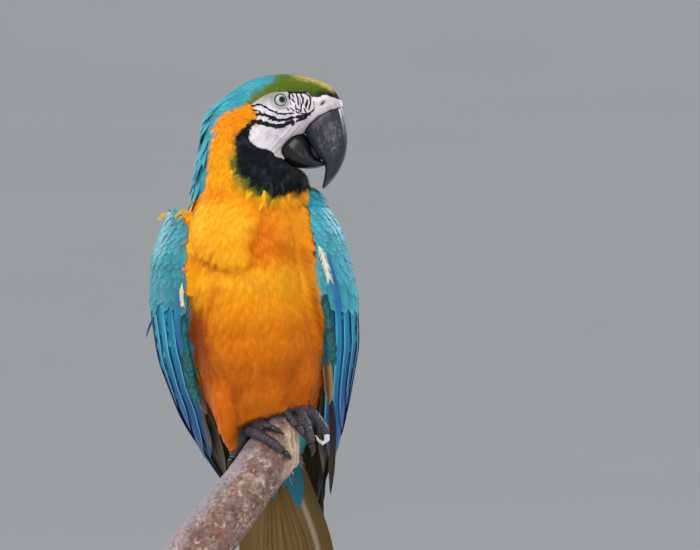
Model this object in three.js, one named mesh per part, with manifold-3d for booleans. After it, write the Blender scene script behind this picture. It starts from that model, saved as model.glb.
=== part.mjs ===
// A life-size blue-and-gold macaw on a short cut branch, held on a display stand.
// Millimetres, +Z up. The bird faces -Y with its head turned to +X, and +Y is behind it.
import * as THREE from 'three';
import { mergeVertices } from 'three/addons/utils/BufferGeometryUtils.js';
import Module from 'manifold-3d';

const wasm = await Module();
wasm.setup();

// ---- Driving dimensions ----
const PERCH_HEIGHT = 515; // from the floor to the middle of the perch's upper end
const PERCH_FORWARD = 45; // the perch's end lies this far in front of the stand's centre
const BODY_ROLL = THREE.MathUtils.degToRad(5); // the trunk leans to its right, so the tail hangs to its left
const ROLL_PIVOT = new THREE.Vector3(0, 0, 56);
const TRUNK_PLACE = new THREE.Vector3(-2, 0, 56);
const HEAD_YAW = THREE.MathUtils.degToRad(82); // how far the head is turned from straight ahead
const EYE_LINE = new THREE.Vector3(20.1, -8, 264.4); // the middle of the head, just in front of the eyes
const EYE_RADIUS = 8;
const EYE_OUT = 19.4; // from the head's mid-plane to each eye's centre
const EYE_BACK = 3.2; // and they lie this far behind and below the head's axes
const EYE_BELOW = 1.6;
const GAP = 0.35; // between solids that touch
const TAIL_LENGTH = 478;
const BRANCH_RADIUS = 22;
const BASE_RADIUS = 160;
const BASE_THICK = 20;
const ROD_RADIUS = 5;
const ROD_SOCKET = 12; // how far a rod goes into the base and into the branch

const V = (x, y, z) => new THREE.Vector3(x, y, z);

// ---- Making solids ----

// A closed surface through rings of equal length, with a fan of triangles over each end.
function loft(rings) {
  const n = rings[0].length;
  const middle = (ring) => ring.reduce((sum, p) => sum.add(p), V(0, 0, 0)).divideScalar(n);
  const points = [...rings.flat(), middle(rings[0]), middle(rings.at(-1))];
  const index = [];
  rings.slice(1).forEach((_, k) => {
    for (let i = 0; i < n; i++) {
      const a = k * n + i;
      const b = k * n + ((i + 1) % n);
      index.push(a, b, b + n, a, b + n, a + n);
    }
  });
  const last = (rings.length - 1) * n;
  for (let i = 0; i < n; i++) {
    index.push(last + n, (i + 1) % n, i);
    index.push(last + n + 1, last + i, last + ((i + 1) % n));
  }
  return new THREE.BufferGeometry().setFromPoints(points).setIndex(index);
}

// A manifold solid from any closed geometry, with its faces turned outwards.
function solid(geometry, tolerance = 1e-4) {
  const bare = new THREE.BufferGeometry().setAttribute('position', geometry.getAttribute('position'));
  if (geometry.index) bare.setIndex(geometry.index);
  const merged = mergeVertices(bare, tolerance);
  const points = merged.attributes.position;
  const corner = (i) => new THREE.Vector3().fromBufferAttribute(points, i);
  let faces = [];
  let volume = 0;
  for (let i = 0; i < merged.index.count; i += 3) {
    const [a, b, c] = [0, 1, 2].map((k) => merged.index.getX(i + k));
    if (a === b || b === c || a === c) continue;
    faces.push([a, b, c]);
    volume += corner(a).dot(corner(b).cross(corner(c)));
  }
  if (volume < 0) faces = faces.map(([a, b, c]) => [a, c, b]);
  const triVerts = new Uint32Array(faces.flat());
  return new wasm.Manifold(new wasm.Mesh({ numProp: 3, vertProperties: points.array, triVerts }));
}

function geometryOf(body) {
  const mesh = body.getMesh();
  const points = new Float32Array(mesh.numVert * 3);
  for (let i = 0; i < mesh.numVert; i++) {
    points.set(mesh.vertProperties.subarray(i * mesh.numProp, i * mesh.numProp + 3), i * 3);
  }
  const geometry = new THREE.BufferGeometry();
  geometry.setAttribute('position', new THREE.BufferAttribute(points, 3));
  geometry.setIndex(new THREE.BufferAttribute(mesh.triVerts, 1));
  geometry.computeVertexNormals();
  return geometry;
}

// Everything on one side of a plane, as a large box.
function halfSpace(point, direction) {
  const size = 800;
  const box = new THREE.BoxGeometry(size, size, size).translate(0, 0, size / 2);
  const turn = new THREE.Quaternion().setFromUnitVectors(V(0, 0, 1), direction.clone().normalize());
  return solid(box.applyQuaternion(turn).translate(point.x, point.y, point.z));
}

const join = (bodies) => bodies.reduce((sum, body) => sum.add(body));

// The outside of the largest piece of a body, with crumbs dropped and any sealed hollow filled.
function largest(body) {
  const { triVerts, vertProperties, numVert } = body.getMesh();
  const parent = Array.from({ length: numVert }, (_, i) => i);
  const rootOf = (i) => {
    while (parent[i] !== i) i = parent[i];
    return i;
  };
  const faces = Array.from({ length: triVerts.length / 3 }, (_, k) => triVerts.slice(3 * k, 3 * k + 3));
  for (const [a, b, c] of faces) {
    parent[rootOf(b)] = rootOf(a);
    parent[rootOf(c)] = rootOf(a);
  }
  const shells = new Map();
  for (const face of faces) {
    const [a, b, c] = [...face].map((i) => V(...vertProperties.subarray(3 * i, 3 * i + 3)));
    const shell = shells.get(rootOf(face[0])) ?? { faces: [], volume: 0 };
    shell.faces.push(...face);
    shell.volume += a.dot(b.cross(c));
    shells.set(rootOf(face[0]), shell);
  }
  const best = [...shells.values()].reduce((a, b) => (a.volume > b.volume ? a : b));
  const geometry = new THREE.BufferGeometry();
  geometry.setAttribute('position', new THREE.BufferAttribute(vertProperties, 3));
  return solid(geometry.setIndex(best.faces).toNonIndexed(), 1e-6);
}

// ---- Curves and sections ----

// A row of numbers between the rows of a table, where t runs from 0 at the first row to 1 at the last.
function between(rows, t) {
  const at = Math.min(Math.max(t, 0), 1) * (rows.length - 1);
  const i = Math.min(Math.floor(at), rows.length - 2);
  const f = at - i;
  const row = (k) => rows[Math.min(Math.max(k, 0), rows.length - 1)];
  return rows[0].map((_, c) => {
    const [p, q, r, s] = [row(i - 1)[c], row(i)[c], row(i + 1)[c], row(i + 2)[c]];
    return q + 0.5 * f * (r - p + f * (2 * p - 5 * q + 4 * r - s + f * (3 * (q - r) + s - p)));
  });
}

// An oval of n points round a centre, square-cornered as power goes over 2.
function oval(centre, across, along, n, power = 2.2) {
  const bend = (x) => Math.sign(x) * Math.abs(x) ** (2 / power);
  return Array.from({ length: n }, (_, i) => {
    const turn = (2 * Math.PI * i) / n;
    return centre
      .clone()
      .addScaledVector(across, bend(Math.cos(turn)))
      .addScaledVector(along, bend(Math.sin(turn)));
  });
}

// A round tube along a smooth path, whose radius comes from a table of radii.
function tube(path, radii, sides, steps, grow = 0) {
  const curve = new THREE.CatmullRomCurve3(path);
  const frames = curve.computeFrenetFrames(steps, false);
  const rings = Array.from({ length: steps + 1 }, (_, i) => {
    const radius = between(radii.map((r) => [r]), i / steps)[0] + grow;
    const across = frames.normals[i].clone().multiplyScalar(radius);
    const along = frames.binormals[i].clone().multiplyScalar(radius);
    return oval(curve.getPointAt(i / steps), across, along, sides, 2);
  });
  return solid(loft(rings));
}

// A closed sheet of varying thickness, from a grid of points on its outer face and another on its inner one.
function slab(outer, inner) {
  const columns = outer.length;
  const rows = outer[0].length;
  const at = (face, c, r) => (face * columns + c) * rows + r;
  const index = [];
  const quad = (p, q, r, s) => index.push(p, q, r, p, r, s);
  for (let c = 0; c < columns - 1; c++) {
    for (let r = 0; r < rows - 1; r++) {
      quad(at(0, c, r), at(0, c + 1, r), at(0, c + 1, r + 1), at(0, c, r + 1));
      quad(at(1, c, r), at(1, c, r + 1), at(1, c + 1, r + 1), at(1, c + 1, r));
    }
    quad(at(0, c, 0), at(1, c, 0), at(1, c + 1, 0), at(0, c + 1, 0));
    quad(at(0, c, rows - 1), at(0, c + 1, rows - 1), at(1, c + 1, rows - 1), at(1, c, rows - 1));
  }
  for (let r = 0; r < rows - 1; r++) {
    quad(at(0, 0, r), at(0, 0, r + 1), at(1, 0, r + 1), at(1, 0, r));
    const c = columns - 1;
    quad(at(0, c, r), at(1, c, r), at(1, c, r + 1), at(0, c, r + 1));
  }
  return solid(new THREE.BufferGeometry().setFromPoints([...outer.flat(), ...inner.flat()]).setIndex(index));
}

// The trunk, wings and tail are drawn upright about ROLL_PIVOT, then leaned over into place.
const rolled = (p) => p.clone().sub(ROLL_PIVOT).applyAxisAngle(V(0, 1, 0), -BODY_ROLL).add(TRUNK_PLACE);
const unrolled = (p) => p.clone().sub(TRUNK_PLACE).applyAxisAngle(V(0, 1, 0), BODY_ROLL).add(ROLL_PIVOT);
const rolledAxis = (axis, length) => axis.clone().applyAxisAngle(V(0, 1, 0), -BODY_ROLL).setLength(length);

// ---- Trunk ----
// Level slices from vent to shoulders: height, middle's place fore and aft, half width, half depth.
const TRUNK = [
  [-40, 77, 12, 9],
  [-22, 68, 24, 20],
  [-5, 56, 34, 33],
  [10, 42, 41, 44],
  [25, 29, 45, 54],
  [50, 15, 50, 60],
  [80, 6, 54, 62],
  [110, 0, 55, 60],
  [140, -2, 53, 55],
  [162, 0, 49, 48],
  [182, 2, 42, 39],
  [198, 3, 30, 30],
];

function trunk(grow = 0) {
  const steps = 10;
  const rings = Array.from({ length: steps + 1 }, (_, i) => {
    const [z, y, wide, deep] = between(TRUNK, i / steps);
    const ring = oval(V(0, y, z), V(wide + grow, 0, 0), V(0, deep + grow, 0), 16);
    return ring.map(rolled);
  });
  return solid(loft(rings));
}

// Moves a point that lies in the trunk, or nearer to it than a margin, sideways out to that margin.
function outsideTrunk(point, margin) {
  const p = unrolled(point);
  const height = TRUNK.findIndex(([z]) => z > p.z);
  if (height < 1) return point;
  const [low, high] = [TRUNK[height - 1][0], TRUNK[height][0]];
  const t = (height - 1 + (p.z - low) / (high - low)) / (TRUNK.length - 1);
  const [, y, wide, deep] = between(TRUNK, t);
  const share = Math.min(Math.abs((p.y - y) / (deep + margin)), 1);
  const reach = (wide + margin) * (1 - share ** 2.2) ** (1 / 2.2);
  if (Math.abs(p.x) < reach) p.x = Math.sign(p.x) * reach;
  return rolled(p);
}

// ---- Neck and throat ----
// Level slices: height, middle's place across and fore and aft, half length along X, half depth along Y.
const NECK = [
  [160, -7, 2, 44, 42],
  [175, -8, 2, 48, 42],
  [188, -9, 0, 47, 39],
  [200, -10, -2, 43.5, 35.5],
  [212, -12, -4, 39.5, 32.5],
  [224, -15, -5, 34.5, 30],
  [236, -15, -6, 32, 29],
  [248, -13, -7, 29, 26],
];

function neck() {
  const steps = 6;
  const rings = Array.from({ length: steps + 1 }, (_, i) => {
    const [z, x, y, long, deep] = between(NECK, i / steps);
    return oval(V(x, y, z), V(long, 0, 0), V(0, deep, 0), 16, 2.1);
  });
  const throat = new THREE.SphereGeometry(1, 12, 8);
  throat.scale(27, 24, 14).translate(10.5, -7, 200);
  return solid(loft(rings)).add(solid(throat));
}

// ---- Head ----
// The head has its own axes: u runs forward to the bill, v to the bird's right and w up, from EYE_LINE.
const FORWARD = V(Math.sin(HEAD_YAW), -Math.cos(HEAD_YAW), 0);
const RIGHTWARD = V(-Math.cos(HEAD_YAW), -Math.sin(HEAD_YAW), 0);
const onHead = (u, v, w) =>
  EYE_LINE.clone().addScaledVector(FORWARD, u).addScaledVector(RIGHTWARD, v).add(V(0, 0, w));

// Upright slices from the cere to the nape: u, top, bottom, half width.
const HEAD = [
  [42.6, -2.2, -5.6, 4],
  [40.6, 1.4, -8, 9],
  [37.4, 9, -11, 12.5],
  [31, 14.3, -15, 15],
  [22, 17.2, -20.5, 17.6],
  [12, 20, -28, 21],
  [1, 21.5, -36, 24.4],
  [-10, 21.6, -43, 27.6],
  [-22, 19.8, -47, 29.6],
  [-33, 15.5, -47, 30],
  [-43, 9, -45, 27.8],
  [-52, 1.2, -41, 23.5],
  [-60, -7, -36, 17],
  [-65.5, -17, -28, 6],
];

function head() {
  const steps = 14;
  const rings = Array.from({ length: steps + 1 }, (_, i) => {
    const [u, top, bottom, wide] = between(HEAD, i / steps);
    const across = RIGHTWARD.clone().multiplyScalar(wide);
    return oval(onHead(u, 0, (top + bottom) / 2), across, V(0, 0, (top - bottom) / 2), 16, 2.25);
  });
  return solid(loft(rings));
}

function eye(side, grow = 0) {
  const ball = new THREE.IcosahedronGeometry(EYE_RADIUS + grow, 2);
  const at = onHead(-EYE_BACK, side * EYE_OUT, -EYE_BELOW);
  return solid(ball.translate(at.x, at.y, at.z));
}

// ---- Bill ----
// Slices from the base to the tip: the outer edge's u and w, the inner edge's u and w, half width.
const UPPER_BILL = [
  [39.8, -3.2, 13.5, -19.4, 11.5],
  [43, -7.4, 13.2, -23.5, 13.2],
  [44.6, -15, 14.6, -28, 14],
  [46, -22.6, 17, -32.5, 13.6],
  [46.5, -29.5, 19.8, -37.2, 12.6],
  [46.1, -36.6, 23.2, -42.4, 11.2],
  [44.4, -44.4, 27.2, -46.2, 9.4],
  [41.5, -51.5, 29.5, -50.6, 7.4],
  [37.9, -57.7, 29.4, -56, 5.4],
  [33.3, -63.2, 28.4, -61.6, 3.4],
  [29.6, -67.1, 27.2, -66.3, 1.6],
  [27.2, -68.7, 26.6, -68.3, 0.5],
];
const LOWER_BILL = [
  [8, -24, -7, -41, 12.5],
  [12.5, -25.2, -4.4, -45.5, 15],
  [16.6, -29.6, 0, -50, 16.2],
  [18.8, -35.5, 9, -52.4, 15.6],
  [20.4, -41.5, 18.5, -53, 13.2],
  [25.2, -46.4, 26.4, -51.6, 9.4],
  [31.4, -46.9, 31.8, -48.4, 4.2],
];

function mandible(rows, steps, grow = 0) {
  const rings = Array.from({ length: steps + 1 }, (_, i) => {
    const [uo, wo, ui, wi, wide] = between(rows, i / steps);
    const outer = onHead(uo, 0, wo);
    const inner = onHead(ui, 0, wi);
    const half = outer.clone().sub(inner).multiplyScalar(0.5);
    half.setLength(half.length() + grow);
    const across = RIGHTWARD.clone().multiplyScalar(wide + grow);
    return oval(outer.clone().add(inner).multiplyScalar(0.5), across, half, 12, 2.5);
  });
  return solid(loft(rings));
}

const TONGUE = [8, 7, 9]; // half its length, width and height

function tongue() {
  const lump = new THREE.SphereGeometry(1, 8, 6);
  lump.scale(TONGUE[0], TONGUE[1], TONGUE[2]).rotateZ(HEAD_YAW - Math.PI / 2);
  const at = onHead(22.5, 0, -40);
  return solid(lump.translate(at.x, at.y, at.z));
}

// ---- Wings ----
// A folded wing's outer face, from the shoulder to the primary tips. Each row holds three points across
// it, on the leading edge, at the bulge and on the edge along the back, and then the thickness there.
const WING = [
  [50, -14, 184, 56, -2, 188, 53, 13, 184, 5],
  [52, -33, 164, 70, -8, 170, 47, 36, 168, 11],
  [51, -41, 140, 76, -3, 144, 38, 56, 148, 16],
  [52, -40, 118, 80, 4, 120, 31, 67, 126, 17],
  [52, -33, 94, 80.5, 12, 96, 24, 75, 102, 15],
  [50, -21, 70, 78, 23, 70, 18, 82, 76, 12],
  [47, -5, 46, 72, 35, 45, 13, 88, 50, 9],
  [44, 13, 21, 64, 48, 20, 9, 94, 22, 7],
  [41, 32, -4, 55, 61, -7, 7, 99, -6, 5],
  [40, 54, -30, 41, 79, -34, 9, 103, -36, 4],
  [31, 105, -75, 23, 115, -78, 6, 120, -78, 3],
  [21, 114, -115, 14, 121, -118, 5, 125, -118, 2.5],
  [10, 124, -150, 7, 126, -152, 3, 128, -152, 2],
];
const WING_SPLAY = { '-1': -4, 1: 4 }; // the left wing's lower edge stands out further than the right's
const WING_OFF_TRUNK = 1.5;
const WING_EDGE = 1.6; // thickness along a wing's two edges
const SHOULDER_RISE = { '-1': -4, 1: 6 }; // and its shoulder is carried higher
const SHOULDER_SPREAD = { '-1': 4, 1: 0 };
// The front edge of the right wing's shoulder lies close on the breast.
const SHOULDER_FRONT = { '-1': -4, 1: 0 };

// The outer face at p along the wing and q across it, side -1 being the bird's right wing.
function wingFace(side, p, q) {
  const row = between(WING, p);
  const share = [2 * (q - 0.5) * (q - 1), 4 * q * (1 - q), 2 * q * (q - 0.5)];
  const at = [0, 1, 2].map((c) => share.reduce((sum, s, k) => sum + s * row[3 * k + c], 0));
  const low = THREE.MathUtils.smoothstep(30 - at[2], 0, 50) * (1 - q);
  const high = 1 - THREE.MathUtils.smoothstep(p, 0, 0.3);
  const shoulder = THREE.MathUtils.lerp(SHOULDER_FRONT[side], SHOULDER_SPREAD[side], Math.min(2 * q, 1));
  const spread = WING_SPLAY[side] * low + shoulder * high;
  return rolled(V(side * (at[0] + spread), at[1], at[2] + SHOULDER_RISE[side] * high));
}

function wingOut(side, p, q) {
  const d = 0.01;
  const alongP = wingFace(side, Math.min(p + d, 1), q).sub(wingFace(side, Math.max(p - d, 0), q));
  const alongQ = wingFace(side, p, Math.min(q + d, 1)).sub(wingFace(side, p, Math.max(q - d, 0)));
  return alongQ.cross(alongP).normalize().multiplyScalar(-side);
}

// How far along the wing each visible flight feather's tip lies, from the outermost primary inwards.
const FEATHER_TIPS = [0.9, 0.97, 1, 0.93, 0.84, 0.77];

function wing(side) {
  const rows = 8;
  const columns = FEATHER_TIPS.flatMap((tip, k) =>
    [0.04, 0.5, 0.96].map((s) => ({
      q: (k + s) / FEATHER_TIPS.length,
      tip: tip - 0.1 * Math.abs(s - 0.5) ** 2,
    })),
  );
  const faces = [0, 1].map((face) =>
    columns.map(({ q, tip }) =>
      Array.from({ length: rows }, (_, r) => {
        const p = (tip * r) / (rows - 1);
        const thick = between(WING, p)[9];
        const depth = WING_EDGE + (thick - WING_EDGE) * Math.sin(Math.PI * (0.06 + 0.88 * q)) ** 0.7;
        const point = wingFace(side, p, q).addScaledVector(wingOut(side, p, q), -face * depth);
        return outsideTrunk(point, WING_OFF_TRUNK + (face ? 0 : depth));
      }),
    ),
  );
  return slab(...faces);
}

// ---- Tail ----
// Twelve feathers in six pairs, the middle pair longest and lying at the back.
const TAIL_ROOT = V(0, 64, 4);
const TAIL_DOWN = V(0.06, 0.27, -0.96).normalize();
const TAIL_ACROSS = V(1, 0, 0.0625).normalize();
const TAIL_BACK = TAIL_ACROSS.clone().cross(TAIL_DOWN).normalize();
// Each pair shows this much of the tail's half width outside the pair before it.
const PAIR_LENGTHS = [1, 0.9, 0.78, 0.66, 0.55, 0.45];
const PAIR_EDGES = [0, 0.36, 0.55, 0.7, 0.82, 0.92, 1];

function tailPoint(across, down, back) {
  const at = TAIL_ROOT.clone().addScaledVector(TAIL_ACROSS, across).addScaledVector(TAIL_DOWN, down);
  return rolled(at.addScaledVector(TAIL_BACK, -back));
}

function tail() {
  const rows = 5;
  const half = PAIR_LENGTHS.flatMap((share, pair) =>
    [0.06, 0.94].map((s) => {
      const place = PAIR_EDGES[pair] + (PAIR_EDGES[pair + 1] - PAIR_EDGES[pair]) * s;
      return { place, length: TAIL_LENGTH * (share - (pair ? 0.03 : 0.07) * s) };
    }),
  );
  const columns = [...half.map(({ place, length }) => ({ place: -place, length })).reverse(), ...half];
  const faces = [-1, 1].map((face) =>
    columns.map(({ place, length }) =>
      Array.from({ length: rows }, (_, r) => {
        const down = length * (r / (rows - 1)) ** 0.8;
        const wide = 20 + 18 * THREE.MathUtils.smoothstep(down, 15, 110);
        const bow = 5 * place ** 2;
        return tailPoint(place * wide, down, 2 * face + bow);
      }),
    ),
  );
  const coverts = Array.from({ length: 6 }, (_, i) => {
    const s = i / 5;
    const wide = 30 * Math.sqrt(1 - 0.92 * s ** 2) + 1;
    const deep = 15 * (1 - s) ** 0.8 + 3.5;
    const centre = tailPoint(0, -14 + 92 * s, 4);
    return oval(centre, rolledAxis(TAIL_ACROSS, wide), rolledAxis(TAIL_BACK, deep), 12, 2);
  });
  return slab(...faces).add(solid(loft(coverts)));
}

// ---- Perch ----
// A cut branch that rises from the lower left towards its worn upper end under the bird's feet.
const BRANCH_TOP = V(17.4, 0, 0.3);
const BRANCH_UP = V(0.582, 0.341, 0.738).normalize();
const BREAK_X = 28; // the upper end is broken off upright here
const BRANCH_FRONT = V(0, -1, 0).addScaledVector(BRANCH_UP, BRANCH_UP.y).normalize();
const BRANCH_LEFT = BRANCH_FRONT.clone().cross(BRANCH_UP).normalize();
const BRANCH_LENGTH = 185;

// How the branch's girth swells, thins and rounds off at its worn end, t being measured from BRANCH_TOP.
function branchRadius(t, turn) {
  const lumps = 0.02 * Math.sin(2 * turn + t / 40) + 0.015 * Math.sin(3 * turn - t / 15);
  const swell = 1 + 0.03 * Math.sin(t / 21) + lumps;
  const worn = t > -4 ? Math.sqrt(Math.max(0, 1 - ((t + 4) / 27) ** 2.2)) : 1;
  return BRANCH_RADIUS * swell * worn;
}

function onBranch(t, degrees, lift) {
  const turn = THREE.MathUtils.degToRad(degrees);
  const reach = branchRadius(Math.min(t, -4), turn) + lift;
  return BRANCH_TOP.clone()
    .addScaledVector(BRANCH_UP, t)
    .addScaledVector(BRANCH_LEFT, reach * Math.cos(turn))
    .addScaledVector(BRANCH_FRONT, reach * Math.sin(turn));
}

function branch(grow = 0) {
  const sides = 12;
  const stops = [-BRANCH_LENGTH, -155, -120, -88, -60, -36, -18, -4, 5, 12, 17, 20.5, 22.6];
  const rings = stops.map((t) =>
    Array.from({ length: sides }, (_, i) => {
      const turn = (2 * Math.PI * i) / sides;
      const reach = Math.max(branchRadius(t, turn), 1) + grow;
      return BRANCH_TOP.clone()
        .addScaledVector(BRANCH_UP, t > 0 ? t + grow : t)
        .addScaledVector(BRANCH_LEFT, reach * Math.cos(turn))
        .addScaledVector(BRANCH_FRONT, reach * Math.sin(turn));
    }),
  );
  return solid(loft(rings)).intersect(halfSpace(V(BREAK_X + grow, 0, 0), V(-1, 0, -0.06)));
}

// ---- Legs and feet ----
// Feathered thighs as slices down the leg: middle, half width, half depth.
const THIGHS = {
  right: [
    [-27, -6, 66, 15, 22],
    [-28, -8, 50, 17, 25],
    [-27.5, -9, 31, 13.8, 20],
    [-27, -8, 12, 9.4, 13],
    [-26, -6, 0, 6, 8],
    [-24.6, -5, -8, 3, 4],
  ],
  left: [
    [30.5, -6, 78, 14, 22],
    [30.5, -8, 62, 15, 24],
    [31, -9, 46, 13.4, 19],
    [30, -9, 33, 9.5, 12],
    [29, -8, 27, 6, 7],
    [28.6, -7.5, 24.5, 4.5, 5],
  ],
};

function thigh(name, grow = 0) {
  const steps = 5;
  const rings = Array.from({ length: steps + 1 }, (_, i) => {
    const [x, y, z, wide, deep] = between(THIGHS[name], i / steps);
    return oval(V(x, y, z), V(wide + grow, 0, 0), V(0, deep + grow, 0), 10, 2);
  });
  return solid(loft(rings));
}

// Each toe is a path to its last joint, and its claw goes on from there.
const FEET = {
  right: {
    shank: [V(-26, 0, 16), V(-21, -1, 9), onBranch(-13, -6, 7)],
    toes: {
      inner: [onBranch(-10, -4, 5), onBranch(-6, 16, 3.6), onBranch(-5.5, 38, 3.1), onBranch(-6, 56, 3)],
      middle: [onBranch(-13, -6, 5), onBranch(-15, 20, 4.5), onBranch(-16, 60, 3.9), onBranch(-16, 102, 3.6)],
      outer: [onBranch(-14, -8, 6), onBranch(-22, -14, 5), onBranch(-29, -20, 4.6), onBranch(-35, -26, 4)],
      hind: [onBranch(-13, -10, 6), onBranch(-13, -36, 5), onBranch(-13, -64, 4.4), onBranch(-13, -88, 4)],
    },
    claws: {
      inner: [onBranch(-5.9, 57, 3), onBranch(-5.2, 71, 3.5), onBranch(-4.6, 84, 0.9)],
      middle: [onBranch(-16, 103, 3.6), onBranch(-16, 115, 4), onBranch(-16, 128, 1.1)],
      outer: [onBranch(-35.6, -26.6, 4), onBranch(-40, -32, 4.4), onBranch(-44, -38, 1.2)],
      hind: [onBranch(-13, -89, 4), onBranch(-13, -103, 4.4), onBranch(-13, -118, 1.2)],
    },
  },
  left: {
    shank: [V(29.5, -4, 40), V(28.5, -6, 33), V(26.5, -8, 26.5)],
    toes: {
      inner: [V(25, -9, 26), V(19, -13.5, 23), V(21.5, -18.5, 18.5), V(27.2, -20.5, 11)],
      middle: [V(27, -10, 26.5), V(31.7, -14, 18.5), V(36, -15.5, 8.5), V(38.6, -14, -2.6)],
      outer: [V(28, -7, 27), V(39, -5.5, 21), V(45.2, -4.5, 13.3), V(50.2, -3.8, 4.8)],
      hind: [V(25, -5, 25), V(15, 7, 22.5), V(3, 17, 20), V(-6, 23, 11)],
    },
    claws: {
      inner: [V(27.5, -20.6, 10.5), V(31.5, -21.8, 5.5), V(34.2, -19.5, 0.6)],
      middle: [V(38.7, -13.9, -3.1), V(39.8, -12.6, -8), V(38.4, -9.6, -12.8)],
      outer: [V(50.4, -3.8, 4.2), V(49.9, -3.9, -2.4), V(45.4, -4.4, -2.2), V(41.6, -5, 3.8)],
      hind: [V(-6.3, 23.1, 10.4), V(-10, 23.5, 4.5), V(-10.5, 20.5, -1)],
    },
  },
};
const TOE_RADII = [5, 4.7, 5, 4.2, 4.6, 3.6];
const TOE_WIDTHS = { inner: 0.74, middle: 0.88, outer: 0.96, hind: 0.92 };
const CLAW_RADII = [2.5, 2.1, 1.4, 0.4];
const SHANK_RADII = [5.2, 4.8, 5.2];

function foot(name, grow = 0) {
  const { shank, toes } = FEET[name];
  const limbs = Object.entries(toes).map(([toe, path]) => {
    const radii = TOE_RADII.map((radius) => radius * TOE_WIDTHS[toe]);
    return tube(path, radii, 7, 5, grow);
  });
  return join([tube(shank, SHANK_RADII, 7, 2, grow), ...limbs]);
}

const claw = (name, toe, grow = 0) => tube(FEET[name].claws[toe], CLAW_RADII, 6, 4, grow);

// ---- Stand ----
// Two steel rods rise from a round wooden base into the underside of the branch, near its cut end.
const ROD_PLACES = [-157, -126].map((t) => BRANCH_TOP.clone().addScaledVector(BRANCH_UP, t));
const FLOOR = -PERCH_HEIGHT;

function rod(at, grow = 0) {
  const bottom = FLOOR + BASE_THICK - ROD_SOCKET - grow;
  const top = at.z - BRANCH_RADIUS + ROD_SOCKET + grow;
  const geometry = new THREE.CylinderGeometry(ROD_RADIUS + grow, ROD_RADIUS + grow, top - bottom, 14);
  return solid(geometry.rotateX(Math.PI / 2).translate(at.x, at.y, (top + bottom) / 2));
}

function base() {
  const bevel = 3;
  const profile = [
    [0, 0],
    [BASE_RADIUS, 0],
    [BASE_RADIUS, BASE_THICK - bevel],
    [BASE_RADIUS - bevel, BASE_THICK],
    [0, BASE_THICK],
  ].map(([r, z]) => new THREE.Vector2(r, z));
  return solid(new THREE.LatheGeometry(profile, 32).rotateX(Math.PI / 2).translate(0, PERCH_FORWARD, FLOOR));
}

// ---- Parting the whole into pieces ----

const upperBill = mandible(UPPER_BILL, 13);
const upperBillRoom = mandible(UPPER_BILL, 13, GAP);
const lowerBill = largest(mandible(LOWER_BILL, 8).subtract(upperBillRoom));
const billRoom = upperBillRoom.add(mandible(LOWER_BILL, 8, GAP));
const tongueBody = tongue();
const footRoom = join(['right', 'left'].map((name) => foot(name, GAP)));
const clawRoom = join(
  ['right', 'left'].flatMap((name) => Object.keys(FEET[name].claws).map((toe) => claw(name, toe, GAP))),
);
const thighRoom = thigh('right', GAP).add(thigh('left', GAP));
const branchRoom = branch(GAP);

const flesh = join([trunk(), neck(), head()]).subtract(billRoom).subtract(eye(1, GAP)).subtract(eye(-1, GAP));
const HEAD_CUT = onHead(-22, 0, -40);
const HEAD_CUT_UP = V(0.35, 0, 1).normalize();
const NECK_CUT = V(-8, 0, 180);
const NECK_CUT_UP = V(0, 0.12, 1).normalize();
const above = (point, up) => halfSpace(point.clone().addScaledVector(up, GAP / 2), up);
const below = (point, up) => halfSpace(point.clone().addScaledVector(up, -GAP / 2), up.clone().negate());

const headBody = largest(flesh.intersect(above(HEAD_CUT, HEAD_CUT_UP)));
const underHead = flesh.intersect(below(HEAD_CUT, HEAD_CUT_UP));
const neckBody = largest(underHead.intersect(above(NECK_CUT, NECK_CUT_UP)));
const trunkBody = largest(
  flesh
    .intersect(below(NECK_CUT, NECK_CUT_UP))
    .subtract(thighRoom)
    .subtract(footRoom)
    .subtract(clawRoom)
    .subtract(branchRoom),
);
const bodyRoom = join([trunk(GAP), neck(), thighRoom]);
const tailBody = largest(tail().subtract(bodyRoom).subtract(branchRoom));
const rodRoom = join(ROD_PLACES.map((at) => rod(at, GAP)));

// ---- Materials and the named pieces ----
const paint = (color, roughness, metalness = 0) =>
  new THREE.MeshStandardMaterial({ color, roughness, metalness });
const crownFeather = paint('#4fa9bd', 0.8);
const goldFeather = paint('#f0a020', 0.85);
const blueFeather = paint('#2f9db8', 0.65);
const oliveFeather = paint('#8a7330', 0.7);
const horn = paint('#25252b', 0.4);
const scaly = paint('#3a3438', 0.75);
const iris = paint('#d5dac6', 0.1);
const wood = paint('#8d7568', 0.9);
const baseWood = paint('#4a3526', 0.5);
const steel = paint('#9a9c9e', 0.35, 1);

const macaw = new THREE.Group();
macaw.position.set(0, -PERCH_FORWARD, PERCH_HEIGHT);

function add(name, body, material) {
  const mesh = new THREE.Mesh(geometryOf(body), material);
  mesh.name = name;
  macaw.add(mesh);
}

add('head', headBody, crownFeather);
add('neck', neckBody, goldFeather);
add('trunk', trunkBody, goldFeather);
add('eye_right', eye(1), iris);
add('eye_left', eye(-1), iris);
add('bill_upper', upperBill, horn);
add('bill_lower', lowerBill, horn);
add('tongue', largest(tongueBody.subtract(billRoom)), scaly);
add('wing_right', wing(-1), blueFeather);
add('wing_left', wing(1), blueFeather);
add('tail', tailBody, oliveFeather);
for (const name of ['right', 'left']) {
  add(`thigh_${name}`, largest(thigh(name).subtract(footRoom)), goldFeather);
  add(`foot_${name}`, largest(foot(name).subtract(clawRoom)), scaly);
  for (const toe of Object.keys(FEET[name].claws)) {
    add(`claw_${name}_${toe}`, claw(name, toe), horn);
  }
}
add('perch_branch', largest(branch().subtract(footRoom).subtract(clawRoom).subtract(rodRoom)), wood);
add('stand_base', base().subtract(rodRoom), baseWood);
ROD_PLACES.forEach((at, i) => add(`stand_rod_${i + 1}`, rod(at), steel));

export default macaw;
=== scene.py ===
import math

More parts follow.
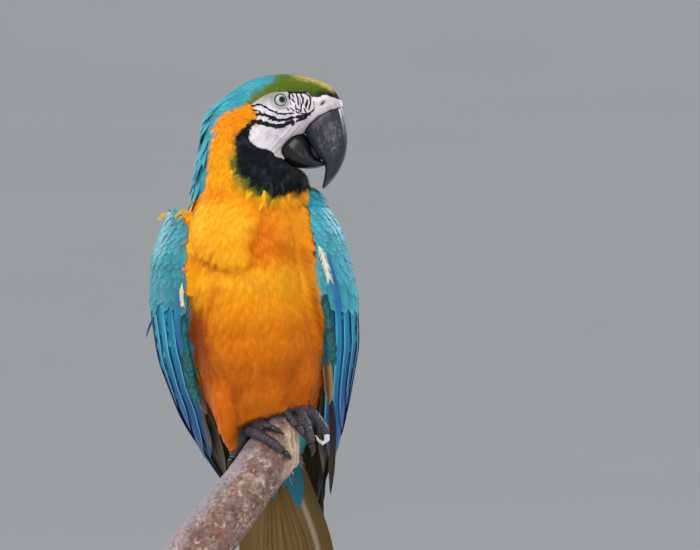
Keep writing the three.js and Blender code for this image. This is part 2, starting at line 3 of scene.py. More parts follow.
import bmesh
import bpy
import numpy as np
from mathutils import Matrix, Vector, noise
from mathutils.bvhtree import BVHTree


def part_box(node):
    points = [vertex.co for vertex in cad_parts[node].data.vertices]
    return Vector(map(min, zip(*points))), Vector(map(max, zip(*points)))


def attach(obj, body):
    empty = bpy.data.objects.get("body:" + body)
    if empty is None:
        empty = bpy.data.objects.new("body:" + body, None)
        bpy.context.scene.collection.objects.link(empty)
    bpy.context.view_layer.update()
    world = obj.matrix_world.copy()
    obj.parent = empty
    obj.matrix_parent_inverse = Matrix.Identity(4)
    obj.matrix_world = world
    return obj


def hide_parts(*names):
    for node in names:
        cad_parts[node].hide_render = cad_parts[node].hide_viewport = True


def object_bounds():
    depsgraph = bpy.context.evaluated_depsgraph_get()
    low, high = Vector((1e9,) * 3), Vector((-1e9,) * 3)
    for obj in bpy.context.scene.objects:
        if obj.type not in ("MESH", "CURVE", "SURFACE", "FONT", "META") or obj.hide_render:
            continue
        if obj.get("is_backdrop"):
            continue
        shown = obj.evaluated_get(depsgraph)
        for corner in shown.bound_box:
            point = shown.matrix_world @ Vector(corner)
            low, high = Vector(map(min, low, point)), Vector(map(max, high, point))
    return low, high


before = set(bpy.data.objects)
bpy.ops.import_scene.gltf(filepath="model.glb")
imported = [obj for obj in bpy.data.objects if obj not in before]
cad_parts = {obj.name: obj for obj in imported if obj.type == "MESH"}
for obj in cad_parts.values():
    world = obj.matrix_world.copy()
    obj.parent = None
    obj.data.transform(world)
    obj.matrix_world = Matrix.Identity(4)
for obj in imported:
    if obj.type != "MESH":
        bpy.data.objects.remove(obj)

# ---- Studio ----
# A pale, seamless floor that curves up into a wide bowl, so that no edge of it shows from any side. The
# light is a large soft lamp from the upper left, with weaker ones to fill and to pick out the back.
MM = 0.001
cad_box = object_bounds()
eye_at = {side: sum(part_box(f"eye_{side}"), Vector()) / 2 for side in ("right", "left")}
between_eyes = (eye_at["right"] + eye_at["left"]) / 2
perch = between_eyes - Vector((16.93, -7.56, 262.8)) * MM  # the bird's own origin, between its feet

camera = bpy.data.objects.new("camera", bpy.data.cameras.new("camera"))
bpy.context.collection.objects.link(camera)
CAMERA_PLACE = (68.6, -3008, 128.7)  # mm from the bird's origin
camera.location = perch + Vector(CAMERA_PLACE) * MM
camera.rotation_euler = (math.radians(90), 0, 0)
camera.data.lens = 197.8
camera.data.sensor_width = 36
camera.data.clip_end = 200
bpy.context.scene.camera = camera
bpy.context.scene.view_settings.view_transform = "Standard"


def linear(code):
    """An sRGB hex colour as linear red, green, blue and alpha."""
    parts = [int(code[i:i + 2], 16) / 255 for i in (1, 3, 5)]
    return (*[c / 12.92 if c <= 0.04045 else ((c + 0.055) / 1.055) ** 2.4 for c in parts], 1.0)


def node(material, kind, links=(), **settings):
    """Adds a shader node. Settings name its properties or input sockets, and links are (source, socket)."""
    made = material.node_tree.nodes.new("ShaderNode" + kind)
    for key, value in settings.items():
        socket = key.replace("_", " ")
        if hasattr(made, key):
            setattr(made, key, value)
        elif socket in made.inputs:
            made.inputs[socket].default_value = value
        else:
            made.inputs[int(key[1:])].default_value = value
    for source, socket in links:
        source = source if isinstance(source, bpy.types.NodeSocket) else source.outputs[0]
        material.node_tree.links.new(source, made.inputs[socket])
    return made


def new_material(name):
    material = bpy.data.materials.new(name)
    material.use_nodes = True
    material.node_tree.nodes.clear()
    return material


def finished(material, **settings):
    """Adds the shader, with settings as its socket values or as nodes linked to them."""
    fixed = {k: v for k, v in settings.items() if not isinstance(v, (bpy.types.Node, bpy.types.NodeSocket))}
    links = [(v, k.replace("_", " ")) for k, v in settings.items() if k not in fixed]
    shader = node(material, "BsdfPrincipled", links, **fixed)
    node(material, "OutputMaterial", [(shader, "Surface")])
    return material


FLOOR_FLAT = 3.0
BOWL_REACH = 20.0
BOWL_HEIGHT = 12.0
TURNS = 96
bowl = bmesh.new()
rings = []
for k in range(41):
    bend = k / 40 * math.pi / 2
    reach = FLOOR_FLAT + (BOWL_REACH - FLOOR_FLAT) * math.sin(bend)
    height = BOWL_HEIGHT * (1 - math.cos(bend))
    rings.append([bowl.verts.new((reach * math.cos(a), reach * math.sin(a), height))
                  for a in np.linspace(0, 2 * math.pi, TURNS, endpoint=False)])
bowl.faces.new(rings[0])
for low, high in zip(rings, rings[1:]):
    for i in range(TURNS):
        bowl.faces.new((low[i], high[i], high[(i + 1) % TURNS], low[(i + 1) % TURNS]))
floor_mesh = bpy.data.meshes.new("studio_floor")
bowl.to_mesh(floor_mesh)
floor_mesh.shade_smooth()
studio_floor = bpy.data.objects.new("studio_floor", floor_mesh)
bpy.context.collection.objects.link(studio_floor)
studio_floor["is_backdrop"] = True
paper = new_material("matt_backdrop_paper")
mottle = node(paper, "TexNoise", Scale=40.0, Detail=2.0)
tone = node(paper, "Mix", [(mottle.outputs["Fac"], "Factor")], data_type="RGBA",
            _6=linear("#a9abad"), _7=linear("#adafb0"))
floor_mesh.materials.append(finished(paper, Base_Color=tone.outputs[2], Roughness=0.95))

world = bpy.data.worlds.new("studio_air")
world.use_nodes = True
world.node_tree.nodes["Background"].inputs["Color"].default_value = linear("#f2f5f8")
world.node_tree.nodes["Background"].inputs["Strength"].default_value = 0.7
bpy.context.scene.world = world
lamps = {
    # name: place, size in metres, watts, colour
    "key": ((-1.7, -2.3, 2.5), 1.9, 54, "#fffaf2"),
    "front": ((0.3, -3.6, 0.5), 2.2, 34, "#fffcf6"),
    "fill": ((2.6, -1.9, 1.2), 2.2, 18, "#f2f6ff"),
    "rim": ((1.9, 1.6, 1.8), 1.0, 46, "#f6f9ff"),
    "back": ((-2.2, 1.3, 1.6), 1.1, 46, "#ffffff"),
}
for name, (place, size, watts, colour) in lamps.items():
    lamp = bpy.data.objects.new(f"{name}_lamp", bpy.data.lights.new(f"{name}_lamp", "AREA"))
    lamp.data.shape = "DISK"
    lamp.data.size = size
    lamp.data.energy = watts
    lamp.data.color = linear(colour)[:3]
    lamp.location = place
    lamp.rotation_euler = (Vector((0, 0, 0.6)) - lamp.location).to_track_quat("-Z", "Y").to_euler()
    bpy.context.collection.objects.link(lamp)
sun = bpy.data.objects.new("sky_lamp", bpy.data.lights.new("sky_lamp", "SUN"))
sun.data.energy = 0.8
sun.data.angle = math.radians(60)
sun.rotation_euler = (math.radians(34), 0, math.radians(-30))
bpy.context.collection.objects.link(sun)

# ---- Markings ----
# The plumage: a blue crown, nape, back and wings, a green forehead, gold sides of the neck and underparts
# that deepen to orange, a black bib and a bare white face. Skin and feathers take the same colours.
head_right = (eye_at["right"] - eye_at["left"]).normalized()
head_ahead = Vector((0, 0, 1)).cross(head_right).normalized()
head_middle = between_eyes + (head_ahead * 3.2 + Vector((0, 0, 1.6))) * MM
# Outlines on the side of the head are measured this much forward for each mm out from its middle.
SLANT = 0.1404

# Outlines on the side of the head, in mm forward of and above its middle.
FACE_EDGE = [(-28, -4), (-23.4, -0.3), (-18.7, 2.8), (-14, 5.1), (-9.2, 6.3), (-3, 6.2), (9.6, 6.3),
             (15.9, 6.3), (18.3, 2.8), (23.8, 2), (27, 3.6), (30.1, 4), (33.3, 2.8), (38, 1.2), (46, -0.3),
             (46, -30), (0, -46.5), (-8.5, -44.3), (-12.4, -40), (-15.5, -38.4), (-20.2, -38), (-25, -36.1),
             (-28.9, -33), (-30.5, -29.1), (-29.7, -23.6), (-27.3, -19.8), (-25, -16.6), (-22.6, -12),
             (-25, -7.5)]
BIB_EDGE = [(-22, -12), (-29.7, -18.2), (-37.5, -24.4), (-41.3, -30), (-39.1, -43.9), (-37.5, -50.1),
            (-35.2, -55.6), (-31.2, -60.2), (-26.5, -64.1), (-21.8, -67.2), (-15.5, -68.8), (-10, -73),
            (2.6, -72), (10.4, -70), (24, -66), (30, -40), (0, -26)]
CROWN_EDGE = [(-68, -40), (-60.3, -25.2), (-54.8, -17.4), (-51.7, -13.5), (-45.4, -9.6), (-37.5, -6.5),
              (-28, -4), (-18, -2), (60, -8)]
# Down the neck: height, the neck's middle across and fore and aft, then the bearings, counted from the
# bird's right round behind it, between which the nape is blue.
NAPE = [(150, -7, 2, 20, 160), (168, -7, 2, 12, 170), (178, -8, 1, 4, 172), (184, -9, 0, -8, 168),
        (192, -9, -1, -27, 150), (200, -10, -2, -34, 125), (214, -13, -4, -32, 95), (231, -15, -5, -38, 75),
        (250, -13, -7, -52, 66), (262, -10, -8, -60, 65)]


def smooth(x, low, high):
    t = np.clip((x - low) / (high - low), 0, 1)
    return t * t * (3 - 2 * t)


def unit(v):
    return v / np.maximum(np.linalg.norm(v, axis=-1, keepdims=True), 1e-12)


def on_bird(points):
    """Points in mm from the bird's own origin."""
    return (points - np.array(perch)) / MM


def depth_inside(places, outline):
    """How far places on a plane lie inside a closed outline, negative outside it."""
    edge = np.array(outline, float)
    step = np.roll(edge, -1, 0) - edge
    away = places[:, None] - edge
    t = np.clip((away * step).sum(-1) / (step * step).sum(-1), 0, 1)
    gap = np.linalg.norm(away - t[..., None] * step, axis=-1).min(1)
    level = places[:, None, 1]
    crosses = (edge[:, 1] > level) != (np.roll(edge[:, 1], -1) > level)
    at = edge[:, 0] + (level - edge[:, 1]) * step[:, 0] / np.where(step[:, 1] == 0, 1e-9, step[:, 1])
    odd = (crosses & (places[:, None, 0] < at)).sum(1) % 2 == 1
    return np.where(odd, gap, -gap)


def patchy(points, size, seed=0):
    """Smooth random numbers from -1 to 1 that change over a size in mm."""
    shift = Vector((seed * 17.3, seed * 5.1, -seed * 9.7))
    return np.array([noise.noise(Vector(p) / size + shift) for p in points * (1 / MM)])


def plain(code, n):
    """One colour for each of n places."""
    return np.tile(linear(code)[:3], (n, 1))


def paint(colour, other, share):
    """Moves colours towards another by a share that each place has of its own."""
    other = np.array(linear(other)[:3]) if isinstance(other, str) else other
    return colour + (other - colour) * np.clip(share, 0, 1)[..., None]


def on_head(points):
    """Points in mm forward of, to the right of and above the head's middle."""
    axes = np.array([head_ahead, head_right, (0, 0, 1)])
    return (points - np.array(head_middle)) @ axes.T / MM


def nearness(*nodes):
    """A search tree over CAD nodes."""
    points, faces = [], []
    for key in nodes:
        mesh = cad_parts[key].data
        faces += [[len(points) + i for i in p.vertices] for p in mesh.polygons]
        points += [v.co.copy() for v in mesh.vertices]
    return BVHTree.FromPolygons(points, faces)


NEAR_WINGS = nearness("wing_right", "wing_left")
NEAR_FEET = nearness("foot_right", "foot_left")
NEAR_TRUNK = nearness("head", "neck", "trunk", "thigh_right", "thigh_left")


def away_from(tree, points):
    """How far points are from CAD nodes, in mm."""
    return np.array([tree.find_nearest(p)[3] for p in points]) / MM


def regions(points):
    """Where each point lies on the head and body, and how far it is inside the face, the bib and the blue."""
    u, v, w = on_head(points).T
    x, y, z = on_bird(points).T
    ahead = u - SLANT * np.abs(v)
    side = np.stack([ahead, w], 1)
    face = depth_inside(side, FACE_EDGE) + 0.4 * patchy(points, 3, 1)
    face = np.where((np.abs(v) < 7.5) & (w > 2), -9, face)
    bib = depth_inside(side, BIB_EDGE)
    edge = np.array(CROWN_EDGE)
    crown = w - np.interp(ahead, edge[:, 0], edge[:, 1])
    nape = np.array(NAPE)
    middle_x, middle_y, low, high = [np.interp(z, nape[:, 0], nape[:, k]) for k in (1, 2, 3, 4)]
    bearing = np.degrees(np.arctan2(y - middle_y, middle_x - x))
    bearing = np.where(bearing < -120, bearing + 360, bearing)
    behind = np.minimum(bearing - low, high - bearing) * 0.6
    blue = np.where(z > 240, crown, np.where(z > 228, np.maximum(crown, behind), behind))
    off_trunk = away_from(NEAR_TRUNK, points)
    wing = smooth(off_trunk - away_from(NEAR_WINGS, points), -1, 1.5) * smooth(z, 205, 195)
    foot = smooth(off_trunk - away_from(NEAR_FEET, points), -0.5, 1)
    return dict(u=u, v=v, w=w, x=x, y=y, z=z, ahead=ahead, face=face, bib=bib, blue=blue, wing=wing,
                foot=foot)


# Lobes of fluffed feathers on the breast: how far each stands out, and its outline across and up, in mm.
LOBES = (
    (1.0, [(-62, 186), (-48, 193), (-36, 195), (-13, 189), (0, 177), (-3, 163), (-8, 152), (-8, 142),
           (-12, 133), (-20, 134), (-36, 138), (-48, 142), (-62, 146)]),
    (0.6, [(-64, 136), (-50, 133), (-38, 131), (-35, 118), (-39, 107), (-48, 102), (-64, 103)]),
    (0.5, [(4, 184), (14, 192), (30, 192), (46, 186), (48, 160), (40, 138), (22, 146), (8, 160)]),
)


def puffs(at):
    """How much the breast swells, from 0 to 1, and where a lobe's lower edge shades what is below it."""
    swell, edge = np.zeros(len(at["x"])), np.zeros(len(at["x"]))
    place = np.stack([at["x"] + 1.5 * patchy_at(at, 9), at["z"] + 1.5 * patchy_at(at, 7)], 1)
    for lift, outline in LOBES:
        low, high = min(z for _, z in outline), max(z for _, z in outline)
        depth = depth_inside(place, outline)
        up = (at["z"] - low) / (high - low)
        swell = np.maximum(swell, lift * smooth(depth, -1.5, 8 + 10 * np.clip(up, 0, 1)))
        edge = np.maximum(edge, lift * smooth(depth, -9, -1) * smooth(depth, 3, 0) * smooth(up, 0.9, 0.5))
    front = smooth(at["y"], 4, -12)
    return swell * front, edge * front


def patchy_at(at, size):
    """Smooth random numbers from -1 to 1 on the front of the body."""
    return np.array([noise.noise(Vector((x, z, 3.0)) / size) for x, z in zip(at["x"], at["z"])])


def markings(points, normals, at=None):
    """The plumage colour at each point of the body, with painted light and shade on the breast, belly and
    forehead.
    """
    at = at or regions(points)
    u, w, z = at["ahead"], at["w"], at["z"]
    blotch, fine = patchy(points, 9, 2), patchy(points, 4, 21)
    swell, shaded = puffs(at)
    colour = plain("#fba812", len(points))
    colour = paint(colour, "#f58d07", smooth(w, -42, -16) * 0.8)
    # painted shade: a darker band in the crease where the neck meets the left breast lobe
    hollow = smooth(np.abs(w + 72), 9, 0) * smooth(at["y"], 4, -10) * smooth(np.abs(at["x"] + 34), 16, 4)
    colour = paint(colour, "#ea7a08", 0.6 * hollow)
    # painted shade: darker over the right side of the upper breast and in the crease between the left and
    # right lobes
    colour = paint(colour, "#ea8c10", smooth(at["x"], -12, 6) * smooth(z, 192, 176) * smooth(z, 124, 144))
    colour = paint(colour, "#e87c0c", 0.9 * smooth(np.hypot((at["x"] - 1) / 11, (z - 154) / 17), 1.3, 0.4))
    colour = paint(colour, "#ee880c", smooth(z + 4 * blotch, 126, 84))
    colour = paint(colour, "#d86a09", smooth(z + 7 * blotch, 96, 38))
    leaning = points + np.outer(np.where(at["x"] < 0, 0.4, -0.4) * points[:, 2], (1, 0, 0))
    streak = patchy(leaning * np.array((1, 1, 0.16)), 2.4, 35) * smooth(z, 122, 84)
    colour = paint(colour, "#f4941c", 0.45 * smooth(streak, 0.1, 0.55))
    colour = paint(colour, "#c05a08", 0.4 * smooth(-streak, 0.1, 0.55))
    thighs = [smooth(np.hypot((at["x"] - x) / wide, (z - h) / high), 1.2, 0.4)
              for x, h, wide, high in ((-32, 26, 12, 32), (37, 58, 9, 15))]
    colour = paint(colour, "#ee7f0c", 0.8 * np.maximum(*thighs))
    # painted shade: dark lines in the creases beside the thigh lobes
    creases = [smooth(np.abs(at["x"] - x - lean * (z - h)), 4.5, 1) * smooth(np.abs(z - h), tall, tall * 0.4)
               for x, h, lean, tall in ((-20, 28, -0.05, 24), (27, 60, 0.3, 16))]
    colour = paint(colour, "#a5440a", np.maximum(0.75 * creases[0], 0.35 * creases[1]))
    # painted shade under the lower left breast puff
    shade_under_puff = smooth(at["x"] + 0.09 * z, -27, -38) * smooth(z, 104, 97) * smooth(z, 30, 84)
    colour = paint(colour, "#a8480c", 0.9 * shade_under_puff)
    off_seam = at["x"] - 36.7 - 0.18 * (148 - z)  # where the flank's golden edge meets the belly
    beside = smooth(z, 152, 140) * smooth(z, 40, 64) * smooth(at["x"], 30, 34)
    # painted shade: a dark line in the groove where the flank's edge meets the belly
    colour = paint(colour, "#8a3208", 0.92 * np.exp(-(off_seam / 2.8) ** 2) * beside)
    colour = paint(colour, "#f0a02a", 0.8 * smooth(off_seam, 2.5, 5.5) * beside)
    low_edge = 13.5 + 0.31 * (at["x"] + 18.5) + 2.5 * fine  # where the belly ends above the branch
    low_front = smooth(at["x"], -24, -18) * smooth(at["x"], 20, 14) * smooth(at["y"], 20, 8)
    # painted light on the lower belly, which faces down, and painted shadow just above the branch where the
    # belly ends
    colour = paint(colour, "#f58a12", 0.85 * smooth(z - low_edge, 34, 12) * low_front)
    colour = paint(colour, "#552208", 0.9 * smooth(low_edge + 1.5 - z, 0, 3) * low_front)
    colour = paint(colour, "#d0670a", 0.75 * shaded)
    # painted light: the swollen lobes are lighter, the left ones most and the right one towards its top
    colour = paint(colour, "#ffb824", 0.7 * smooth(swell, 0.3, 0.9) * smooth(at["x"], 4, -8))
    colour = paint(colour, "#f8a51c", 0.6 * smooth(swell, 0.2, 0.5) * smooth(at["x"], 8, 16)
                   * smooth(z, 160, 176))
    bright_band = smooth(np.hypot((at["x"] + 4) / 40, (z - 127) / 10), 1.4, 0.3)
    colour = paint(colour, "#feb222", 0.8 * bright_band)
    # crown, forehead, nape and back
    sky = plain("#40a6b6", len(points))
    sky = paint(sky, "#2f8da6", 0.4 + 0.8 * blotch)
    leaf = plain("#5b7019", len(points))
    leaf = paint(leaf, "#3f5c18", smooth(w, 13, 4) * smooth(u, -12, 6))
    # painted highlight: the forehead's feathers turn pale tan where they face up and forward
    rim = normals @ unit(np.array((0, 0, 1.0)) + 0.7 * np.array(head_ahead))
    leaf = paint(leaf, "#cfb662", smooth(rim + 0.08 * fine, 0.7, 0.94) * smooth(u, -4, 12))
    line = np.interp(u, (-60, -40, -32, -25, -15, -10, -1, 8), (-60, -14, -1, 8, 13, 18, 24, 33))
    sky = paint(sky, leaf, smooth(line - w + 6 * blotch + 4 * fine, -6, 6) * smooth(z, 225, 240))
    sky = paint(sky, "#141a0e", smooth(u, 20, 28) * smooth(w, 8.5, 4))
    colour = paint(colour, sky, smooth(at["blue"] + 1.5 * blotch, -2, 2))
    # the black bib and its green hem
    hem = smooth(at["bib"] + 3 * fine, -10, -1.5) * smooth(u, -2, -14) * smooth(w, -34, -52)
    colour = paint(colour, "#8a8a1c", 0.7 * smooth(hem, 0, 0.5))
    colour = paint(colour, "#2c5a2c", 0.95 * smooth(hem, 0.3, 1))
    black = paint(plain("#0d0f13", len(points)), "#2b323d",
                  0.8 * smooth(patchy(points * np.array((1, 1, 0.5)), 3, 33) + 0.5 * blotch, 0, 0.7))
    colour = paint(colour, black, smooth(at["bib"] + 2.5 * fine, -2.5, 1))
    # under the tail, on the rump and on the wings
    under_tail = smooth(z, 12, -4) * smooth(at["y"], 22, 34)
    rump = smooth(at["y"], 44, 54) * smooth(z, 190, 175)
    colour = paint(colour, "#1f98aa", np.maximum(under_tail, rump))
    return paint(colour, "#2b93a6", at["wing"])


# ---- Skin ----
# One skin from bill to toes, sunk by the depth of the coat that covers it. It is bare, white and finely
# creased on the face, with lids round the eyes and slit nostrils, and dark and scaly on the feet.
SKIN_CELL = 1.5 * MM
FLESH = ["head", "neck", "trunk", "thigh_right", "thigh_left", "wing_right", "wing_left", "foot_right",
         "foot_left"]
WING_ARM_ENDS = 30  # mm above the feet: the wing's flesh ends here and only feathers go on
LID_RADIUS = 8.5  # mm from the eye's centre
LID_OPENING = 31  # degrees from the lid's axis to its rim
COAT_DEPTH = 1.0  # mm, on the body, with more on the neck and breast
PUFF_SWELL = 5.5
FOLD_GAP = 3.4
SCUTE_GAP = 2.7
SCUTE_RELIEF = 0.45
BILL_FOLDS = ((9.6, -23.6), (-7.6, -42.3))  # the skin's folds run beside this line along the lower bill


def arrays(mesh):
    """A mesh's points and normals."""
    points = np.empty(len(mesh.vertices) * 3)
    normals = np.empty(len(mesh.vertices) * 3)
    mesh.vertices.foreach_get("co", points)
    mesh.vertices.foreach_get("normal", normals)
    return points.reshape(-1, 3), normals.reshape(-1, 3)


def put_points(mesh, points):
    mesh.vertices.foreach_set("co", points.ravel())
    mesh.update()


def store_colours(mesh, name, colours, marks=1.0):
    """Keeps a colour for each point, with a further number from 0 to 1 as its alpha."""
    layer = mesh.color_attributes.new(name, "FLOAT_COLOR", "POINT")
    marks = np.broadcast_to(marks, len(colours))
    layer.data.foreach_set("color", np.c_[colours, marks].astype(np.float32).ravel())


def relax(mesh, share, rounds):
    """Evens out a mesh, by a share that each point has of its own."""
    edges = np.empty(len(mesh.edges) * 2, int)
    mesh.edges.foreach_get("vertices", edges)
    a, b = edges.reshape(-1, 2).T
    points, _ = arrays(mesh)
    degree = np.maximum(np.bincount(np.r_[a, b], minlength=len(points)), 1)[:, None]
    share = np.broadcast_to(np.reshape(share, (-1, 1)), (len(points), 1))
    for _ in range(rounds):
        total = [np.bincount(np.r_[a, b], np.r_[points[b, k], points[a, k]], len(points)) for k in range(3)]
        points += (np.stack(total, 1) / degree - points) * share
    put_points(mesh, points)


def joined_copy(name, nodes, swell=0.0):
    """A copy of CAD nodes as one mesh, each swollen a little so that they meet."""
    whole = bmesh.new()
    for key in nodes:
        part = bmesh.new()
        part.from_mesh(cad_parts[key].data)
        bmesh.ops.remove_doubles(part, verts=part.verts, dist=0.01 * MM)
        if key.startswith("wing"):
            cut = Vector((0, 0, WING_ARM_ENDS * MM)) + perch
            bmesh.ops.bisect_plane(part, geom=part.verts[:] + part.edges[:] + part.faces[:], plane_co=cut,
                                   plane_no=(0, 0, -1), clear_outer=True)
            bmesh.ops.holes_fill(part, edges=[e for e in part.edges if e.is_boundary])
        part.normal_update()
        for v, move in [(v, v.normal * swell) for v in part.verts]:
            v.co += move
        copy = bpy.data.meshes.new("part")
        part.to_mesh(copy)
        whole.from_mesh(copy)
        bpy.data.meshes.remove(copy)
        part.free()
    mesh = bpy.data.meshes.new(name)
    whole.to_mesh(mesh)
    whole.free()
    piece = bpy.data.objects.new(name, mesh)
    bpy.context.collection.objects.link(piece)
    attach(piece, "root")
    return piece


def remesh(piece, cell):
    """Turns a piece into one even grid of small faces."""
    grid = piece.modifiers.new("grid", "REMESH")
    grid.mode = "VOXEL"
    grid.voxel_size = cell
    made = bpy.data.meshes.new_from_object(piece.evaluated_get(bpy.context.evaluated_depsgraph_get()))
    piece.modifiers.clear()
    old, piece.data = piece.data, made
    bpy.data.meshes.remove(old)
    made.name = piece.name
    made.shade_smooth()


def gaze(side, turn, rise):
    """A direction from an eye: degrees from straight ahead and degrees up."""
    out = head_right * (1 if side == "right" else -1)
    turn, rise = math.radians(turn), math.radians(rise)
    level = head_ahead * math.cos(turn) + out * math.sin(turn)
    return (level * math.cos(rise) + Vector((0, 0, 1)) * math.sin(rise)).normalized()


LID_AXIS = {side: gaze(side, 77, 10) for side in eye_at}


def from_lid(points, side):
    """Each point's distance from an eye in mm and its angle from the lid's axis in degrees."""
    away = points - np.array(eye_at[side])
    reach = np.linalg.norm(away, axis=1)
    angle = np.degrees(np.arccos(np.clip(away @ np.array(LID_AXIS[side]) / np.maximum(reach, 1e-9), -1, 1)))
    return reach / MM, angle


skin = joined_copy("skin", [*FLESH, "eye_right", "eye_left"], 0.3 * MM)
remesh(skin, SKIN_CELL)
points, normals = arrays(skin.data)
at = regions(points)
front_of_head = smooth(at["u"], -35, -20) * smooth(at["z"], 205, 215)
relax(skin.data, 0.5 * (1 - 0.97 * at["foot"]) * (1 - 0.8 * front_of_head) * (1 - 0.8 * at["wing"]), 34)
relax(skin.data, 0.35, 3)

# finer faces on the bare parts
shape = bmesh.new()
shape.from_mesh(skin.data)
points, normals = arrays(skin.data)
at = regions(points)
fine = (at["face"] > -2.5) & (at["z"] > 205) | (at["foot"] > 0.3)
shape.verts.ensure_lookup_table()
edges = [e for e in shape.edges if all(fine[v.index] for v in e.verts)]
bmesh.ops.subdivide_edges(shape, edges=edges, cuts=1, use_grid_fill=True, smooth=0.6)
shape.to_mesh(skin.data)
points, _ = arrays(skin.data)
near_lid = np.zeros(len(points), bool)
for side in eye_at:
    reach, angle = from_lid(points, side)
    near_lid |= (reach < 13) & (angle < 52)
shape.verts.ensure_lookup_table()
edges = [e for e in shape.edges if all(near_lid[v.index] for v in e.verts)]
bmesh.ops.subdivide_edges(shape, edges=edges, cuts=1, use_grid_fill=True)
bmesh.ops.triangulate(shape, faces=[f for f in shape.faces if len(f.verts) > 4])
shape.to_mesh(skin.data)
shape.free()
points, normals = arrays(skin.data)
at = regions(points)
feet = at["foot"]
bare = smooth(at["face"], -0.4, 0.4) * smooth(at["z"], 205, 212)
relax(skin.data, 0.5 * bare, 3)

# the coat's depth, and the puffs of fluffed feathers on the breast
points, normals = arrays(skin.data)
depth = COAT_DEPTH + 1.6 * smooth(at["z"], 262, 215)
depth += 1.6 * smooth(at["z"], 200, 182) * smooth(at["z"], 70, 110) * smooth(at["y"], 8, -10)
move = -(depth + (1.8 - depth) * at["wing"]) * (1 - bare) * (1 - feet)
move += PUFF_SWELL * puffs(at)[0] * (1 - at["wing"])
move += 2.2 * smooth(at["bib"], 2, 10) * smooth(at["w"], -40, -56)



def nostril(at):
    """Squared distance from the middle of the slit nostrils, in their own half widths."""
    u, w = at["ahead"] - 27.7, at["w"] + 2.6
    slit = ((u + w) / 3.4) ** 2 + ((u - w) / 1.5) ** 2
    return np.where(np.abs(at["v"]) > 4, slit, 9)


# bare skin: the cere swells over the bill, a slit nostril sinks in it, and folds follow the lower bill
cere = smooth(at["u"], 20, 27) * smooth(np.abs(at["w"] + 1), 12, 3) * bare
move += 0.7 * cere
slit = nostril(at)
move += (0.5 * np.exp(-((np.sqrt(slit) - 1.6) / 0.5) ** 2) - 2.4 * np.exp(-slit * 0.9)) * bare
(u0, w0), (u1, w1) = BILL_FOLDS
run = np.array((u1 - u0, w1 - w0))
run /= np.linalg.norm(run)
from_bill = (at["ahead"] - u0) * run[1] - (at["w"] - w0) * run[0]
fold = np.cos(2 * math.pi * from_bill / FOLD_GAP + 0.9 * patchy(points, 6, 4))
move += 0.3 * fold * smooth(np.abs(from_bill - 4.5), 5.5, 3) * bare * smooth(at["w"], -14, -20)
move += 0.16 * patchy(points, 2.2, 6) * bare
points += normals * (move * MM)[:, None]
lid_tone = np.zeros(len(points))
for side in eye_at:
    reach, angle = from_lid(points, side)
    near = reach < 14
    ripple = 0.14 * np.cos((angle - 46) / 4.2 * 2 * math.pi) * smooth(angle, 44, 47) * smooth(angle, 66, 52)
    rim = 0.35 * np.exp(-((angle - 38) / 4) ** 2)
    target = LID_RADIUS + rim + ripple
    hold = smooth(angle, 62, 46) * near
    away = points - np.array(eye_at[side])
    points += away * ((target / reach - 1) * hold)[:, None]
    lid_tone = np.maximum(lid_tone, smooth(angle, 47, 43.5) * near)
put_points(skin.data, points)
relax(skin.data, 0.4 * (1 - feet) * (1 - bare), 3)

# the toes' scutes: plates across each toe, counted from the knuckle that its foot's toes share
KNUCKLES = np.array(((-22, -6, 5), (27, -9, 26)))


def scutes(points):
    """How far each place on a foot stands up, from 0 in a groove to 1 on the middle of a plate."""
    reach = np.linalg.norm(on_bird(points)[:, None] - KNUCKLES, axis=2).min(1)
    wave = np.cos(2 * math.pi * (reach / SCUTE_GAP + 0.35 * patchy(points, 5, 36)))
    return 0.5 + 0.5 * wave * smooth(reach, 9, 15)


points, normals = arrays(skin.data)
points += normals * (SCUTE_RELIEF * (scutes(points) - 0.6) * regions(points)["foot"] * MM)[:, None]
put_points(skin.data, points)

# the opening between the lids, with its rim turned in to the eyeball
shape = bmesh.new()
shape.from_mesh(skin.data)
for side in eye_at:
    centre, axis = eye_at[side], LID_AXIS[side]
    opening = math.radians(LID_OPENING)
    gone = [f for f in shape.faces
            if (f.calc_center_median() - centre).length < 13 * MM
            and (f.calc_center_median() - centre).angle(axis) < opening]
    bmesh.ops.delete(shape, geom=gone, context="FACES")
    rim_edges = [e for e in shape.edges if e.is_boundary and (e.verts[0].co - centre).length < 13 * MM]

    def snap(v, angle, radius):
        away = (v.co - centre).normalized()
        level = (away - axis * away.dot(axis)).normalized()
        v.co = centre + (axis * math.cos(angle) + level * math.sin(angle)) * radius * MM

    for v in {v for e in rim_edges for v in e.verts}:
        snap(v, opening, LID_RADIUS)
    inner = bmesh.ops.extrude_edge_only(shape, edges=rim_edges)["geom"]
    for v in [g for g in inner if isinstance(g, bmesh.types.BMVert)]:
        snap(v, opening + 0.01, 7.6)
shape.normal_update()
shape.to_mesh(skin.data)
shape.free()

points, normals = arrays(skin.data)
at = regions(points)
feet = at["foot"]
bare = smooth(at["face"], -0.4, 0.4) * smooth(at["z"], 205, 212)
# painted shade: the skin under the coat takes the plumage colours at three quarters brightness
skin_colour = markings(points, normals, at) * 0.75
face_colour = plain("#ebe7ec", len(points))
near_bill = smooth(np.abs((at["ahead"] - u0) * run[1] - (at["w"] - w0) * run[0]), 7, 1)
face_colour = paint(face_colour, "#cfaeac", 0.5 * near_bill * smooth(at["w"], -10, -18))
face_colour = paint(face_colour, "#d5b9b5", 0.5 * smooth(at["u"], 30, 38))
face_colour = paint(face_colour, "#b9aeb8", 0.35 * smooth(patchy(points, 5, 7), -0.1, 0.5))
blush = smooth(patchy(points, 2.5, 27), 0, 0.5) * smooth(at["w"], -22, -8)
face_colour = paint(face_colour, "#c9a09c", 0.25 * blush)
